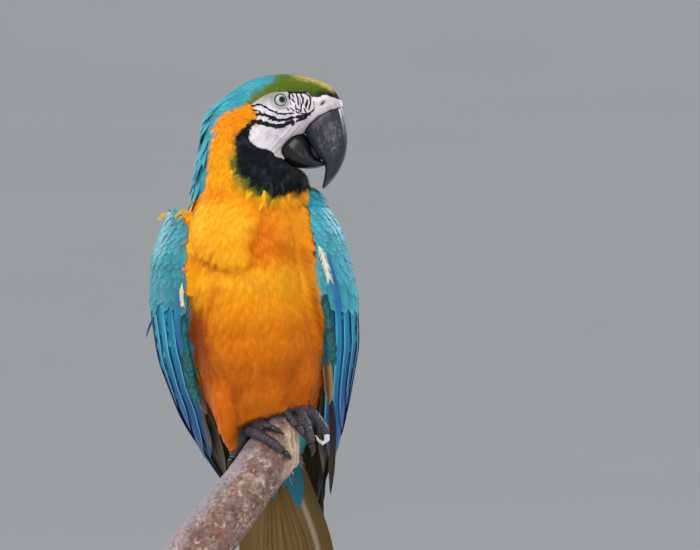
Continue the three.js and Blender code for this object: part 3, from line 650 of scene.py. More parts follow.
# painted shade at the top and back of the face, under the feathers above it
face_colour = paint(face_colour, "#94887f", 0.9 * smooth(at["w"], -8, 4) * smooth(at["ahead"], 4, -8))
# painted shade inside the slit nostrils
face_colour = paint(face_colour, "#3a2b2c", np.exp(-nostril(at) * 0.9))
for side in eye_at:
    reach, angle = from_lid(points, side)
    face_colour = paint(face_colour, "#aaa0ac", smooth(angle, 62, 50) * (reach < 14) * 0.3)
    face_colour = paint(face_colour, "#6b6270", np.exp(-((angle - 53) / 1.6) ** 2) * (reach < 14) * 0.5)
    face_colour = paint(face_colour, "#332c38", smooth(angle, 36.5, 34) * (reach < 14))
skin_colour = paint(skin_colour, face_colour, bare)
# painted shade: the feet are darker in the grooves between the scutes than on the raised plates
foot_colour = paint(plain("#0a090c", len(points)), "#37333c", scutes(points))
skin_colour = paint(skin_colour, foot_colour, feet)
store_colours(skin.data, "Plumage", skin_colour)
skin.data.shade_smooth()

# Skin hidden under the coat: dull and soft, in the plumage's own colours darkened as painted shade.
covered_skin = new_material("feathered_bird_skin")
tint = node(covered_skin, "VertexColor", layer_name="Plumage")
place = node(covered_skin, "TexCoord").outputs["Object"]
grain = node(covered_skin, "TexNoise", [(place, "Vector")], Scale=1 / (1.5 * MM), Detail=3.0)
bump = node(covered_skin, "Bump", [(grain, "Height")], Strength=0.3, Distance=0.3 * MM)
finished(covered_skin, Base_Color=tint, Normal=bump, Roughness=0.75)
# Bare facial skin: fine creases about 1 mm apart, darker along their lines as painted shade, a soft sheen and
# a little light passing through.
face_skin = new_material("bare_bird_skin")
tint = node(face_skin, "VertexColor", layer_name="Plumage")
place = node(face_skin, "TexCoord").outputs["Object"]
creases = node(face_skin, "TexVoronoi", [(place, "Vector")], feature="DISTANCE_TO_EDGE", Scale=1 / (1.3 * MM))
pores = node(face_skin, "TexNoise", [(place, "Vector")], Scale=1 / (0.7 * MM), Detail=4.0)
height = node(face_skin, "Math", [(creases.outputs["Distance"], 0), (pores, 1)], operation="ADD")
bump = node(face_skin, "Bump", [(height, "Height")], Strength=0.8, Distance=0.45 * MM)
# painted shade: the colour darkens along the creases and in the pores
value = node(face_skin, "MapRange", [(height, "Value")], _1=0.4, _2=0.8, _3=0.8, _4=1.06)
tone = node(face_skin, "HueSaturation", [(tint, "Color"), (value, "Value")])
finished(face_skin, Base_Color=tone, Normal=bump, Roughness=0.6, Subsurface_Weight=0.1,
         Subsurface_Scale=1 * MM, IOR=1.4)
# Scaly skin of the feet: small raised plates with pale seams, slightly shiny.
foot_skin = new_material("scaly_foot_skin")
tint = node(foot_skin, "VertexColor", layer_name="Plumage")
place = node(foot_skin, "TexCoord").outputs["Object"]
plates = node(foot_skin, "TexVoronoi", [(place, "Vector")], feature="DISTANCE_TO_EDGE", Scale=1 / (1.5 * MM))
seam = node(foot_skin, "MapRange", [(plates.outputs["Distance"], "Value")], _1=0.0, _2=0.16, _3=1.0, _4=0.0)
wear = node(foot_skin, "TexNoise", [(place, "Vector")], Scale=1 / (6 * MM), Detail=3.0)
seam = node(foot_skin, "Math", [(seam, 0), (wear, 1)], operation="MULTIPLY")
tone = node(foot_skin, "Mix", [(seam, "Factor"), (tint, 6)], data_type="RGBA", _7=linear("#615c68"))
bump = node(foot_skin, "Bump", [(plates.outputs["Distance"], "Height")], Strength=0.9, Distance=0.9 * MM)
finished(foot_skin, Base_Color=tone.outputs[2], Normal=bump, Roughness=0.34, IOR=1.5)
for material in (covered_skin, face_skin, foot_skin):
    skin.data.materials.append(material)
corner = np.array([p.vertices[0] for p in skin.data.polygons])
kind = np.where(feet[corner] > 0.5, 2, np.where(bare[corner] > 0.5, 1, 0))
skin.data.polygons.foreach_set("material_index", kind.astype(np.int32))
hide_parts(*FLESH)

# ---- Eyes ----
# Each eye is a glossy ball deep in the lids. The iris is pale grey green with fine spokes and a darker
# outer ring, and the small pupil looks ahead and a little up.
EYE_SIZE = 7.9  # mm from centre to front
PUPIL = 15.8  # degrees from the axis to the pupil's edge
IRIS = 44
spokes = 120
# Glass-clear cornea over the iris: a wet, mirror-smooth coat.
wet_eye = new_material("wet_cornea")
tint = node(wet_eye, "VertexColor", layer_name="Iris")
finished(wet_eye, Base_Color=tint, Roughness=0.4, Specular_IOR_Level=0.2, Coat_Weight=0.45,
         Coat_Roughness=0.02, Coat_IOR=1.38)
marks = [0, 4, 8, 12, PUPIL, PUPIL + 0.4, 17.5, 19, 21, 24, 28, 32, 36, 40, IRIS, IRIS + 2, 50, 60, 75, 90,
         110, 130, 155, 180]
for side in eye_at:
    axis = gaze(side, 68, 12)
    ball = bmesh.new()
    rows = []
    turn = axis.to_track_quat("Z", "Y")
    for angle in marks:
        a = math.radians(angle)
        bulge = 0.45 * max(0, 1 - (angle / 40) ** 2)
        radius = (EYE_SIZE + bulge) * MM
        if angle in (0, 180):
            rows.append([ball.verts.new(eye_at[side] + turn @ Vector((0, 0, radius * math.cos(a))))])
            continue
        level, up = radius * math.sin(a), radius * math.cos(a)
        rows.append([ball.verts.new(eye_at[side] + turn @ Vector((level * math.cos(b), level * math.sin(b),
                                                                  up)))
                     for b in np.linspace(0, 2 * math.pi, spokes, endpoint=False)])
    for low, high in zip(rows, rows[1:]):
        for i in range(spokes):
            ring = [low[i % len(low)], high[i % len(high)], high[(i + 1) % len(high)],
                    low[(i + 1) % len(low)]]
            ball.faces.new(list(dict.fromkeys(ring)))
    mesh = bpy.data.meshes.new(f"eyeball_{side}")
    ball.to_mesh(mesh)
    mesh.shade_smooth()
    points, _ = arrays(mesh)
    away = unit(points - np.array(eye_at[side]))
    angle = np.degrees(np.arccos(np.clip(away @ np.array(axis), -1, 1)))
    local = away @ np.array(turn.to_matrix())
    bearing = np.arctan2(local[:, 1], local[:, 0])
    streak = np.cos(bearing * 31) * 0.5 + np.cos(bearing * 47 + 1) * 0.5
    colour = plain("#a9b0ac", len(points))
    colour = paint(colour, "#848c86", 0.35 + 0.35 * streak)
    colour = paint(colour, "#5f6a66", smooth(angle, 22, 16) * 0.9)
    colour = paint(colour, "#c8cfcb", np.exp(-((angle - 27) / 5) ** 2) * 0.6)
    colour = paint(colour, "#6d746f", smooth(angle, 33, 43))
    colour = paint(colour, "#05070b", (angle <= PUPIL + 0.1) * 1.0)
    colour = paint(colour, "#3a3438", smooth(angle, IRIS, IRIS + 2))
    store_colours(mesh, "Iris", colour)
    eyeball = bpy.data.objects.new(f"eyeball_{side}", mesh)
    bpy.context.collection.objects.link(eyeball)
    mesh.materials.append(wet_eye)
    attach(eyeball, "root")
    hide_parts(f"eye_{side}")

# ---- Soft coat ----
# Small contour feathers over the skin. Each is a thin fan of barbs that starts in the skin and lies back
# along it, smallest on the face, and the nape's are loose blades that stand out a little.


def tuft(barbs, spread, blunt=0.8, thick=1.2, seed=1):
    """A soft feather as a fan of narrow barbs: places along and across it, their lift, shade and faces."""
    rng = np.random.default_rng(seed)
    along, across, lift, shade, faces = [], [], [], [], []
    for k in range(barbs):
        turn = k / (barbs - 1) * 2 - 1
        reach = 1 - (1 - blunt) * turn * turn - rng.uniform(0, 0.16)
        up = rng.uniform(-0.03, 0.05)
        tone = rng.uniform(0.95, 1.05)
        start = len(along)
        for t, half in ((0, 0.9), (0.5, 1.0), (1, 0)):
            for edge in ((-1, 1) if half else (0,)):
                along.append(reach * t)
                across.append(turn * (0.4 + spread * t ** 0.8) + edge * half * thick / barbs)
                lift.append(up * t - 0.05 * abs(turn))
                shade.append(tone * (0.93 + 0.1 * t))
        faces += [(start, start + 2, start + 1), (start + 1, start + 2, start + 3),
                  (start + 2, start + 4, start + 3)]
    return dict(along=np.array(along), across=np.array(across), lift=np.array(lift), shade=np.array(shade),
                faces=np.array(faces))


def vane(columns, rows, tip=0.5, root=0.5, camber=0.1, tilt=0.0, point=0.5, taper=0.0):
    """A smooth feather as one blade, rounded over the last share of its length."""
    a, c = np.meshgrid(np.linspace(0, 1, rows + 1) ** 0.9, np.linspace(-1, 1, columns + 1), indexing="ij")
    half = root + (1 - root) * smooth(a, 0, 0.35)
    half = half * (1 - taper * a) * np.clip(1 - np.clip((a - 1 + tip) / tip, 0, 1) ** 2, 0, 1) ** point
    half = np.maximum(half, 0.02)
    n = columns + 1
    faces = [(r * n + k, (r + 1) * n + k, (r + 1) * n + k + 1, r * n + k + 1)
             for r in range(rows) for k in range(columns)]
    across = (c * half).ravel()
    return dict(along=a.ravel(), across=across, lift=(-camber * across ** 2 - tilt * across),
                shade=(0.86 + 0.18 * a).ravel(), faces=np.array(faces), edge=c.ravel(), tilt=tilt)


def feather_mesh(name, line, facing, width, stand, colour, shape, place, patch=(0.003, 0.003), root_stand=0.1,
                 curve=0.7, roundness=0.3):
    """One mesh of feathers, each along its own line of points, with each tuft's patch on the coat's unwrap.

    line and facing are each feather's points and outward directions. width and stand are in metres, stand
    being how far the tip is off the skin. place is where each root lies on the coat's unwrap."""
    n, k = line.shape[:2]
    s = shape["along"]
    at = np.clip(s * (k - 1), 0, k - 1.001)
    i = at.astype(int)
    f = (at - i)[None, :, None]
    base = line[:, i] * (1 - f) + line[:, i + 1] * f
    out = unit(facing[:, i] * (1 - f) + facing[:, i + 1] * f)
    slope = np.gradient(line, axis=1)
    ahead = slope[:, i] * (1 - f) + slope[:, i + 1] * f
    across = unit(np.cross(out, ahead))
    off = root_stand + (1 - root_stand) * s ** curve
    corners = (base + across * (shape["across"] * width[:, None] / 2)[..., None]
               + out * (shape["lift"] * width[:, None] + off * stand[:, None])[..., None])
    faces = shape["faces"]
    count, sides = len(s), faces.shape[1]
    index = (faces[None] + np.arange(n)[:, None, None] * count).ravel()
    mesh = bpy.data.meshes.new(name)
    mesh.vertices.add(n * count)
    mesh.vertices.foreach_set("co", corners.astype(np.float32).ravel())
    mesh.loops.add(len(index))
    mesh.loops.foreach_set("vertex_index", index.astype(np.int32))
    mesh.polygons.add(n * len(faces))
    mesh.polygons.foreach_set("loop_start", np.arange(0, len(index), sides, dtype=np.int32))
    mesh.update(calc_edges=True)
    if colour.ndim == 2:
        colour = colour[:, None] * shape["shade"][None, :, None]
    store_colours(mesh, "Plumage", np.clip(colour, 0, 1).reshape(-1, 3))
    spot = np.stack([shape["across"] / 2, s], 1)
    flat = (spot[None] * np.array(patch) + place[:, None]).reshape(-1, 2)[index]
    long = np.linalg.norm(np.diff(line, axis=1), axis=2).sum(1)
    own = (spot[None] * np.stack([width, long], 1)[:, None] / MM).reshape(-1, 2)[index]
    for key, values in (("OFBake", flat), ("Barbs", own)):
        mesh.uv_layers.new(name=key).data.foreach_set("uv", values.astype(np.float32).ravel())
    mesh.shade_smooth()
    lean = roundness * shape["across"] + 2 * shape.get("tilt", 0)
    round_off = unit(out + across * lean[None, :, None])
    mesh.normals_split_custom_set_from_vertices(round_off.reshape(-1, 3).tolist())
    piece = bpy.data.objects.new(name, mesh)
    bpy.context.collection.objects.link(piece)
    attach(piece, "root")
    return piece


def dress(piece, material):
    piece.data.materials.append(material)


class Surface:
    """The skin, for finding the nearest place on it and for scattering roots over it."""

    def __init__(self, mesh):
        self.points, self.normals = arrays(mesh)
        mesh.calc_loop_triangles()
        tris = np.empty(len(mesh.loop_triangles) * 3, int)
        mesh.loop_triangles.foreach_get("vertices", tris)
        self.tris = tris.reshape(-1, 3)
        self.tree = BVHTree.FromPolygons(self.points.tolist(), self.tris.tolist())

    def nearest(self, points):
        found = [self.tree.find_nearest(p)[:2] for p in points]
        return np.array([f[0] for f in found]), np.array([f[1] for f in found])

    def scatter(self, share, gap, seed):
        """Roots at least a gap apart, in metres, over the part of the skin where share is over a half."""
        rng = np.random.default_rng(seed)
        a, b, c = (self.points[self.tris[:, k]] for k in range(3))
        area = np.linalg.norm(np.cross(b - a, c - a), axis=1) / 2 * (share[self.tris].mean(1) > 0.5)
        tries = int(area.sum() / gap ** 2 * 4)
        pick = rng.choice(len(area), tries, p=area / area.sum())
        r1, r2 = np.sqrt(rng.random(tries)), rng.random(tries)
        mix = np.stack([1 - r1, r1 * (1 - r2), r1 * r2], 1)
        spots = (self.points[self.tris[pick]] * mix[..., None]).sum(1)
        facing = unit((self.normals[self.tris[pick]] * mix[..., None]).sum(1))
        cells = np.floor(spots / gap).astype(int).tolist()
        taken, keep = {}, []
        near = [(i, j, k) for i in (-1, 0, 1) for j in (-1, 0, 1) for k in (-1, 0, 1)]
        for n, ((ci, cj, ck), (x, y, z)) in enumerate(zip(cells, spots.tolist())):
            others = [q for i, j, k in near for q in taken.get((ci + i, cj + j, ck + k), ())]
            if all((x - p) ** 2 + (y - q) ** 2 + (z - r) ** 2 > gap * gap for p, q, r in others):
                taken.setdefault((ci, cj, ck), []).append((x, y, z))
                keep.append(n)
        return spots[keep], facing[keep]


body = Surface(skin.data)
body_at = regions(body.points)


def lie_of_coat(points, normals, swirl=0.0):
    """The way the feathers point at each place: back over the head, down the body and back under the tail."""
    at = regions(points)
    over_head = smooth(at["w"], -38, 4) * smooth(at["z"], 222, 240)
    way = -np.array(head_ahead) * over_head[:, None] + np.array((0, 0, -1.0)) * (1.05 - over_head)[:, None]
    way = way - np.array(head_ahead) * (0.5 * smooth(at["bib"], -4, 4))[:, None]
    way = way + smooth(at["z"], 45, -5)[:, None] * np.array((0, 0.8, 0.0))
    spread = 0.7 * smooth(at["x"], -6, 34) * smooth(at["z"], 124, 146)
    spread -= 0.5 * smooth(at["x"], -28, -48) * smooth(at["z"], 96, 120)
    gather = 0.5 * np.clip((at["x"] + 4) / 34, -1, 1) * smooth(at["z"], 104, 76) * smooth(at["z"], 4, 30)
    way = way + (spread * smooth(at["z"], 200, 186) - gather)[:, None] * np.array((1.0, 0, 0))
    way = unit(way - normals * (way * normals).sum(1)[:, None])
    turn = np.radians(swirl) * patchy(points, 16, 5)
    return way * np.cos(turn)[:, None] + np.cross(normals, way) * np.sin(turn)[:, None]


def along_skin(roots, facing, way, length, steps=3):
    """Each feather's line: it leaves its root and keeps to the skin for its length."""
    line, out = [roots], [facing]
    here, heading = roots, way
    for _ in range(steps):
        here, nor = body.nearest(here + heading * (length / steps)[:, None])
        heading = unit(heading - nor * (heading * nor).sum(1)[:, None])
        line.append(here)
        out.append(nor)
    return np.stack(line, 1), np.stack(out, 1)


def unwrapped(points):
    """Places on an unwrap of a coat: the bearing round the body's upright line, and the height."""
    x, y, z = on_bird(points).T
    x, y = x + 5, y - 4
    turn = np.arctan2(y, x) - math.atan2(y.mean(), x.mean())
    turn = (turn + math.pi) % (2 * math.pi) - math.pi
    flat = np.stack([turn, z], 1)
    low, high = flat.min(0), flat.max(0)
    return 0.005 + 0.985 * (flat - low) / (high - low)


# Down and contour feathers: matt, with barbs about 0.8 mm apart that streak the colour, and a soft sheen.
soft_plumage = new_material("soft_plumage")
tint = node(soft_plumage, "VertexColor", layer_name="Plumage")
own = node(soft_plumage, "UVMap", uv_map="Barbs")
stretch = node(soft_plumage, "VectorMath", [(own, 0)], operation="MULTIPLY")
stretch.inputs[1].default_value = (1 / 0.8, 1 / 9, 1)
streaks = node(soft_plumage, "TexNoise", [(stretch, "Vector")], Scale=1.0, Detail=2.0)
value = node(soft_plumage, "MapRange", [(streaks, "Value")], _1=0.3, _2=0.7, _3=0.95, _4=1.06)
tone = node(soft_plumage, "HueSaturation", [(tint, "Color"), (value, "Value")])
finished(soft_plumage, Base_Color=tone, Roughness=0.85, Sheen_Weight=0.08, Sheen_Roughness=0.5,
         Specular_IOR_Level=0.15)


def coat(name, share, gap, length, width, stand, shape, seed, sway=8, swirl=16, spread=0.18, stiff=0.0,
         uneven=0.025):
    """Covers part of the skin with feathers. Sizes are in mm, and may follow the place. A stiff feather
    stands straight out over a hollow by that share of its depth."""
    rng = np.random.default_rng(seed)
    roots, facing = body.scatter(share, gap * MM, seed)
    at = regions(roots)
    at["off_feet"] = away_from(NEAR_FEET, roots)
    way = lie_of_coat(roots, facing, swirl)
    turn = np.radians(rng.normal(0, sway, len(roots)))[:, None]
    way = unit(way * np.cos(turn) + np.cross(facing, way) * np.sin(turn))
    size = rng.uniform(1 - spread, 1 + spread, len(roots))
    long, wide, high = [(v(at) if callable(v) else v) * size * MM for v in (length, width, stand)]
    high = high * rng.uniform(0.7, 1.25, len(roots))
    line, out = along_skin(roots - facing * 0.2 * MM, facing, way, long)
    tone = markings(line[:, 1:3].mean(1), facing)
    straight = roots[:, None] + way[:, None] * (long[:, None] * np.linspace(0, 1, 4))[..., None]
    line += out * np.clip(((straight - line) * out).sum(2) * stiff, 0, 4 * MM)[..., None]
    tone = tone * rng.normal(1, uneven, (len(roots), 1)) * (1 + 0.03 * patchy(roots, 5, 8))[:, None]
    piece = feather_mesh(name, line, out, wide, high, tone, shape, unwrapped(roots))
    dress(piece, soft_plumage)


feathered = ~((body_at["face"] > 0) & (body_at["z"] > 208)) & (body_at["foot"] < 0.4)
on_wing = (body_at["wing"] > 0.5) & feathered
is_bib = (body_at["bib"] > -2) & (body_at["z"] > 180) & feathered
is_crown = feathered & (body_at["z"] > 222) & (body_at["blue"] > -1) & ~is_bib
is_neck = feathered & (body_at["z"] > 176) & ~is_crown & ~is_bib & ~on_wing
is_back = feathered & (body_at["z"] <= 176) & ((body_at["y"] > 30) | (body_at["blue"] > 0)) & ~on_wing
is_front = feathered & (body_at["z"] <= 176) & ~is_back & ~on_wing

by_feet = away_from(NEAR_FEET, body.points)


def clear_of_feet(length):
    """A feather length that shortens towards the feet, so that it leaves the toes bare."""
    return lambda at: length * (0.3 + 0.7 * smooth(at["off_feet"], 3, 17))


coat("crown_feathers", is_crown, 1.1, lambda at: 3.4 + 6 * smooth(at["ahead"], -14, -60),
     lambda at: 2.2 + 2 * smooth(at["ahead"], -14, -60), lambda at: 0.6 + 0.9 * smooth(at["ahead"], -14, -60),
     tuft(6, 0.5, seed=2), 11, sway=9, swirl=8, uneven=0.09)
coat("bib_feathers", is_bib, 1.2, lambda at: 5 + 11 * smooth(at["w"], -26, -60), 4.4,
     lambda at: 1.2 + 2.6 * smooth(at["w"], -36, -62), tuft(10, 0.8, 0.6, seed=3), 12,
     sway=20, uneven=0.14)
coat("neck_feathers", is_neck, 1.2, lambda at: 8 + 6 * smooth(at["z"], 240, 190), 4.6, 1.6,
     tuft(12, 0.6, seed=4), 13, sway=10)
coat("breast_feathers", is_front & (body_at["z"] > 98), 1.5, 17, 5.6, 2.0,
     tuft(12, 0.6, seed=5), 14, sway=9, stiff=0.6)
coat("belly_feathers", is_front & (body_at["z"] <= 98) & (by_feet > 2), 1.45, clear_of_feet(16), 5.4, 2.0,
     tuft(12, 0.6, seed=6), 15, sway=9, stiff=0.5)
coat("back_feathers", is_back, 3.4, 17, 10, 2.0, vane(4, 5, 0.45), 16, sway=6, swirl=6)
coat("shoulder_feathers", on_wing, 2.8, 10, 7, 1.6, vane(4, 4, 0.5), 17, sway=6, swirl=6)
nape_blue = (is_crown & (body_at["ahead"] < -46) | is_neck) & (body_at["blue"] > 8)
coat("nape_feathers", nape_blue, 4.0, 21, 6.5, 4.6, vane(4, 6, 0.6, 0.4, point=0.9), 18,
     sway=14, swirl=8)

# ---- Facial feathers ----
# Rows of tiny black feathers grow on the white face in curved lines below the eye, and in short stripes
# that run down from the forehead between the eye and the bill.
FACE_LINES = {
    # width in mm, then the line forward of and above the head's middle
    "under_eye": (0.9, [(-27.3, -5.0), (-23.4, -3.8), (-20.2, -3.8), (-17.1, -5.7), (-13.2, -8.1),
                        (-10.0, -9.4), (-6.6, -10.6), (-2.7, -10.9), (1.2, -10.4), (5.7, -10.6)]),
    "behind_cheek": (0.9, [(-26.5, -8.1), (-23.4, -8.5), (-20.2, -9.6)]),
    "cheek_upper": (1.1, [(-25.0, -12.0), (-20.2, -11.2), (-15.5, -12.4), (-10.0, -13.9), (-7.7, -15.5)]),
    "cheek_upper_front": (1.2, [(-12.4, -14.8), (-6.1, -15.6), (-1.0, -15.1), (3.5, -14.0), (7.9, -13.1),
                                (12.4, -12.3), (14.7, -12.0), (16.9, -10.9)]),
    "cheek_lower": (1.9, [(-25.7, -16.6), (-21.0, -17.0), (-17.1, -18.2), (-12.4, -19.6), (-6.6, -20.4),
                          (-2.7, -19.3), (1.2, -17.3), (5.1, -16.2)]),
    "cheek_lower_front": (1.3, [(5.1, -17.9), (8.5, -15.9), (13.0, -14.5)]),
    "brow": (1.3, [(0.6, 5.8), (7.0, 6.2), (13.6, 6.1)]),
    "lore_1": (1.1, [(1.6, 5.2), (1.9, 0.2)]),
    "lore_2": (0.9, [(3.4, 4.7), (5.4, 1.0)]),
    "lore_3": (0.8, [(4.3, 0.2), (6.0, -2.9), (6.8, -6.5)]),
    "lore_4": (1.0, [(6.8, 5.5), (8.1, 1.6), (8.4, -2.6)]),
    "lore_5": (1.0, [(10.2, 5.2), (11.9, 1.6), (12.2, -1.8), (10.8, -4.0), (10.6, -7.9)]),
    "lore_6": (1.1, [(15.5, 0.2), (14.7, -4.5)]),
    "lore_7": (0.8, [(13.3, -6.2), (14.1, -8.7)]),
    "lore_8": (0.9, [(13.6, 5.5), (16.4, 3.8), (18.0, 1.0), (18.0, -2.3), (17.2, -6.2)]),
    "lore_9": (0.6, [(0.4, -7.0), (2.6, -8.1)]),
    "lore_10": (0.7, [(3.5, -7.0), (5.4, -8.7), (8.5, -9.8)]),
    "lore_11": (0.6, [(6.8, -6.2), (9.6, -8.1)]),
    "lore_12": (0.8, [(10.5, -10.1), (14.1, -10.9), (17.5, -10.1), (19.2, -8.4)]),
    "lore_13": (0.4, [(2.6, -2.4), (3.6, -5.2)]),
    "lore_14": (0.4, [(9.9, 0.6), (10.0, -2.2)]),
    "lore_15": (0.4, [(20.6, -0.8), (20.9, -6.4)]),
}
rng = np.random.default_rng(31)
roots, facing, ways, widths = [], [], [], []
for side, sign in (("right", 1), ("left", -1)):
    look = (head_ahead * SLANT + head_right * sign).normalized()
    for wide, path in FACE_LINES.values():
        path = np.array(path)
        run = np.r_[0, np.cumsum(np.linalg.norm(np.diff(path, axis=0), axis=1))]
        marks = np.repeat(np.arange(0, run[-1], 0.5), 2 if wide > 1 else 1)
        for mark in marks:
            spread = rng.normal(0, wide * 0.22, 2)
            a, b = np.interp(mark, run, path[:, 0]), np.interp(mark, run, path[:, 1])
            c, d = np.interp(mark + 0.5, run, path[:, 0]), np.interp(mark + 0.5, run, path[:, 1])
            middle = head_ahead * (a + spread[0]) + Vector((0, 0, b + spread[1]))
            start = head_middle + (middle + look * 60) * MM
            hit, nor, _, _ = body.tree.ray_cast(start, -look)
            if hit is None:
                continue
            along = head_ahead * (c - a) + Vector((0, 0, d - b))
            if b < 3 and a < 6 and along.dot(head_ahead) > 0:
                along = -along
            along = (along.normalized() + Vector((0, 0, rng.normal(-0.15, 0.22)))).normalized()
            along = (along - nor * along.dot(nor)).normalized()
            roots.append(hit)
            facing.append(nor)
            ways.append(along)
            widths.append(wide)
roots, facing, ways, widths = (np.array(v) for v in (roots, facing, ways, widths))
long = (1.3 + 1.0 * widths) * rng.uniform(0.7, 1.3, len(roots)) * MM
line, out = along_skin(roots - facing * 0.05 * MM, facing, ways, long, 2)
tone = plain("#17171c", len(roots)) * rng.uniform(0.6, 2.2, (len(roots), 1))
face_feathers = feather_mesh("face_feathers", line, out, widths * MM, np.full(len(roots), 0.5 * MM),
                             tone, vane(2, 3, 0.7, 0.6), unwrapped(roots))
dress(face_feathers, soft_plumage)

# ---- Wing coverts ----
# The folded wings: small scale-like feathers over the arm and larger ones below them, in rows like tiles.
# Each is one smooth blade that is fixed at its root and covers the root of the next.


class WingFace:
    """One face of a folded wing, as a height in mm and a share of the way from its front edge to its back."""

    def __init__(self, side, inner=False):
        self.sign = 1 if side == "left" else -1
        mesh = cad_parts[f"wing_{side}"].data
        points, _ = arrays(mesh)
        tree = BVHTree.FromPolygons(points.tolist(), [p.vertices[:] for p in mesh.polygons])
        self.heights = np.arange(-149, 184, 3.0)
        shares = np.linspace(0, 1, 33)
        rows = []
        for height in self.heights:
            centre = perch + Vector((0, 20, height)) * MM
            found = []
            for bearing in np.radians(np.arange(-66, 100, 1.5)):
                out = Vector((self.sign * math.cos(bearing), math.sin(bearing), 0))
                start, heading = (centre, out) if inner else (centre + out * 200 * MM, -out)
                hit = tree.ray_cast(start, heading)[0]
                if hit is not None:
                    found.append((bearing, (hit - centre).length / MM))
            rows.append(np.array(found).T if len(found) > 1 else None)
        good = [k for k, row in enumerate(rows) if row is not None]
        self.heights = self.heights[good]
        ends = np.array([(rows[k][0][0], rows[k][0][-1]) for k in good])
        reach = []
        for (first, last), k in zip(ends, good):
            reach.append(np.interp(first + (last - first) * shares, *rows[k]))
        reach = np.array(reach)
        for _ in range(4):
            for grid in (ends, reach):
                grid[1:-1] = grid[1:-1] / 2 + (grid[:-2] + grid[2:]) / 4
            reach[:, 1:-1] = reach[:, 1:-1] / 2 + (reach[:, :-2] + reach[:, 2:]) / 4
        bearing = ends[:, :1] + (ends[:, 1:] - ends[:, :1]) * shares
        x = self.sign * reach * np.cos(bearing)
        y = 20 + reach * np.sin(bearing)
        self.grid = np.stack([x, y, np.broadcast_to(self.heights[:, None], x.shape)], 2)
        down = np.gradient(self.grid, axis=0)
        across = np.gradient(self.grid, axis=1)
        self.out = unit(np.cross(across, down)) * self.sign * (-1 if inner else 1)
        self.arc = np.linalg.norm(np.diff(self.grid, axis=1), axis=2).sum(1)

    def at(self, height, share):
        """World points and outward directions."""
        i = np.clip(np.interp(height, self.heights, np.arange(len(self.heights))), 0,
                    len(self.heights) - 1.001)
        j = np.clip(share * 32, 0, 31.999)
        a, b = i.astype(int), j.astype(int)
        f, g = (i - a)[..., None], (j - b)[..., None]
        found = []
        for grid in (self.grid, self.out):
            found.append((grid[a, b] * (1 - f) + grid[a + 1, b] * f) * (1 - g)
                         + (grid[a, b + 1] * (1 - f) + grid[a + 1, b + 1] * f) * g)
        drop = np.minimum(height - self.heights[0], 0)
        found[0][..., 2] += drop
        return found[0] * MM + np.array(perch), unit(found[1])


def wing_lines(face, height, share, drift, length, steps):
    """Lines down a wing's face from roots at heights and shares, drifting by a share over their length."""
    s = np.linspace(0, 1, steps + 1)
    return face.at(height[:, None] - length[:, None] * s, np.clip(share[:, None] + drift[:, None] * s, 0, 1))


# Vaned feathers: barbs lie at a slant off the shaft, drawn 1.6 mm apart so that they show, with a silky
# gloss.
vane_plumage = new_material("vaned_plumage")
tint = node(vane_plumage, "VertexColor", layer_name="Plumage")
own = node(vane_plumage, "UVMap", uv_map="Barbs")
parts = node(vane_plumage, "SeparateXYZ", [(own, 0)])
off_shaft = node(vane_plumage, "Math", [(parts.outputs[0], 0)], operation="ABSOLUTE")
slant = node(vane_plumage, "Math", [(off_shaft, 0), (parts.outputs[1], 2)], operation="MULTIPLY_ADD", _1=-1.3)
place = node(vane_plumage, "CombineXYZ", [(slant, 0)])
barbs = node(vane_plumage, "TexNoise", [(place, "Vector")], Scale=1 / 1.6, Detail=3.0)
value = node(vane_plumage, "MapRange", [(barbs, "Value")], _1=0.3, _2=0.7, _3=0.86, _4=1.12)
tone = node(vane_plumage, "HueSaturation", [(tint, "Color"), (value, "Value")])
bump = node(vane_plumage, "Bump", [(barbs, "Height")], Strength=0.3, Distance=0.15 * MM)
finished(vane_plumage, Base_Color=tone, Normal=bump, Roughness=0.5, Sheen_Weight=0.05, Sheen_Roughness=0.4,
         Specular_IOR_Level=0.25)


def blade_colour(shape, sign, root, tip, light, shaft, inner, jitter, strength=0.45):
    """A blade's colour from root to tip, with a light outer edge, a dark shaft and a deeper inner side."""
    x, s = shape["edge"] * sign, shape["along"]
    colour = paint(plain(root, len(s)), tip, smooth(s, 0.25, 0.85))
    colour = paint(colour, inner, smooth(x, -0.1, 0.5))
    colour = paint(colour, light, 0.8 * smooth(x, -0.62, -0.95) * smooth(s, 0.1, 0.3) * smooth(s, 1.0, 0.8))
    colour = paint(colour, shaft, np.exp(-((x + 0.3) / 0.09) ** 2) * strength)
    return colour[None] * jitter[:, None, None]


def wing_cells(across, height):
    """Places on an unwrap of a wing: the share of the way across it, and the height."""
    return 0.02 + 0.95 * np.stack([across, (height - height.min()) / np.ptp(height)], 1)


WINGS = {side: (WingFace(side), WingFace(side, inner=True)) for side in ("right", "left")}
wing_draws = {side: np.random.default_rng(41 + outer.sign) for side, (outer, _) in WINGS.items()}

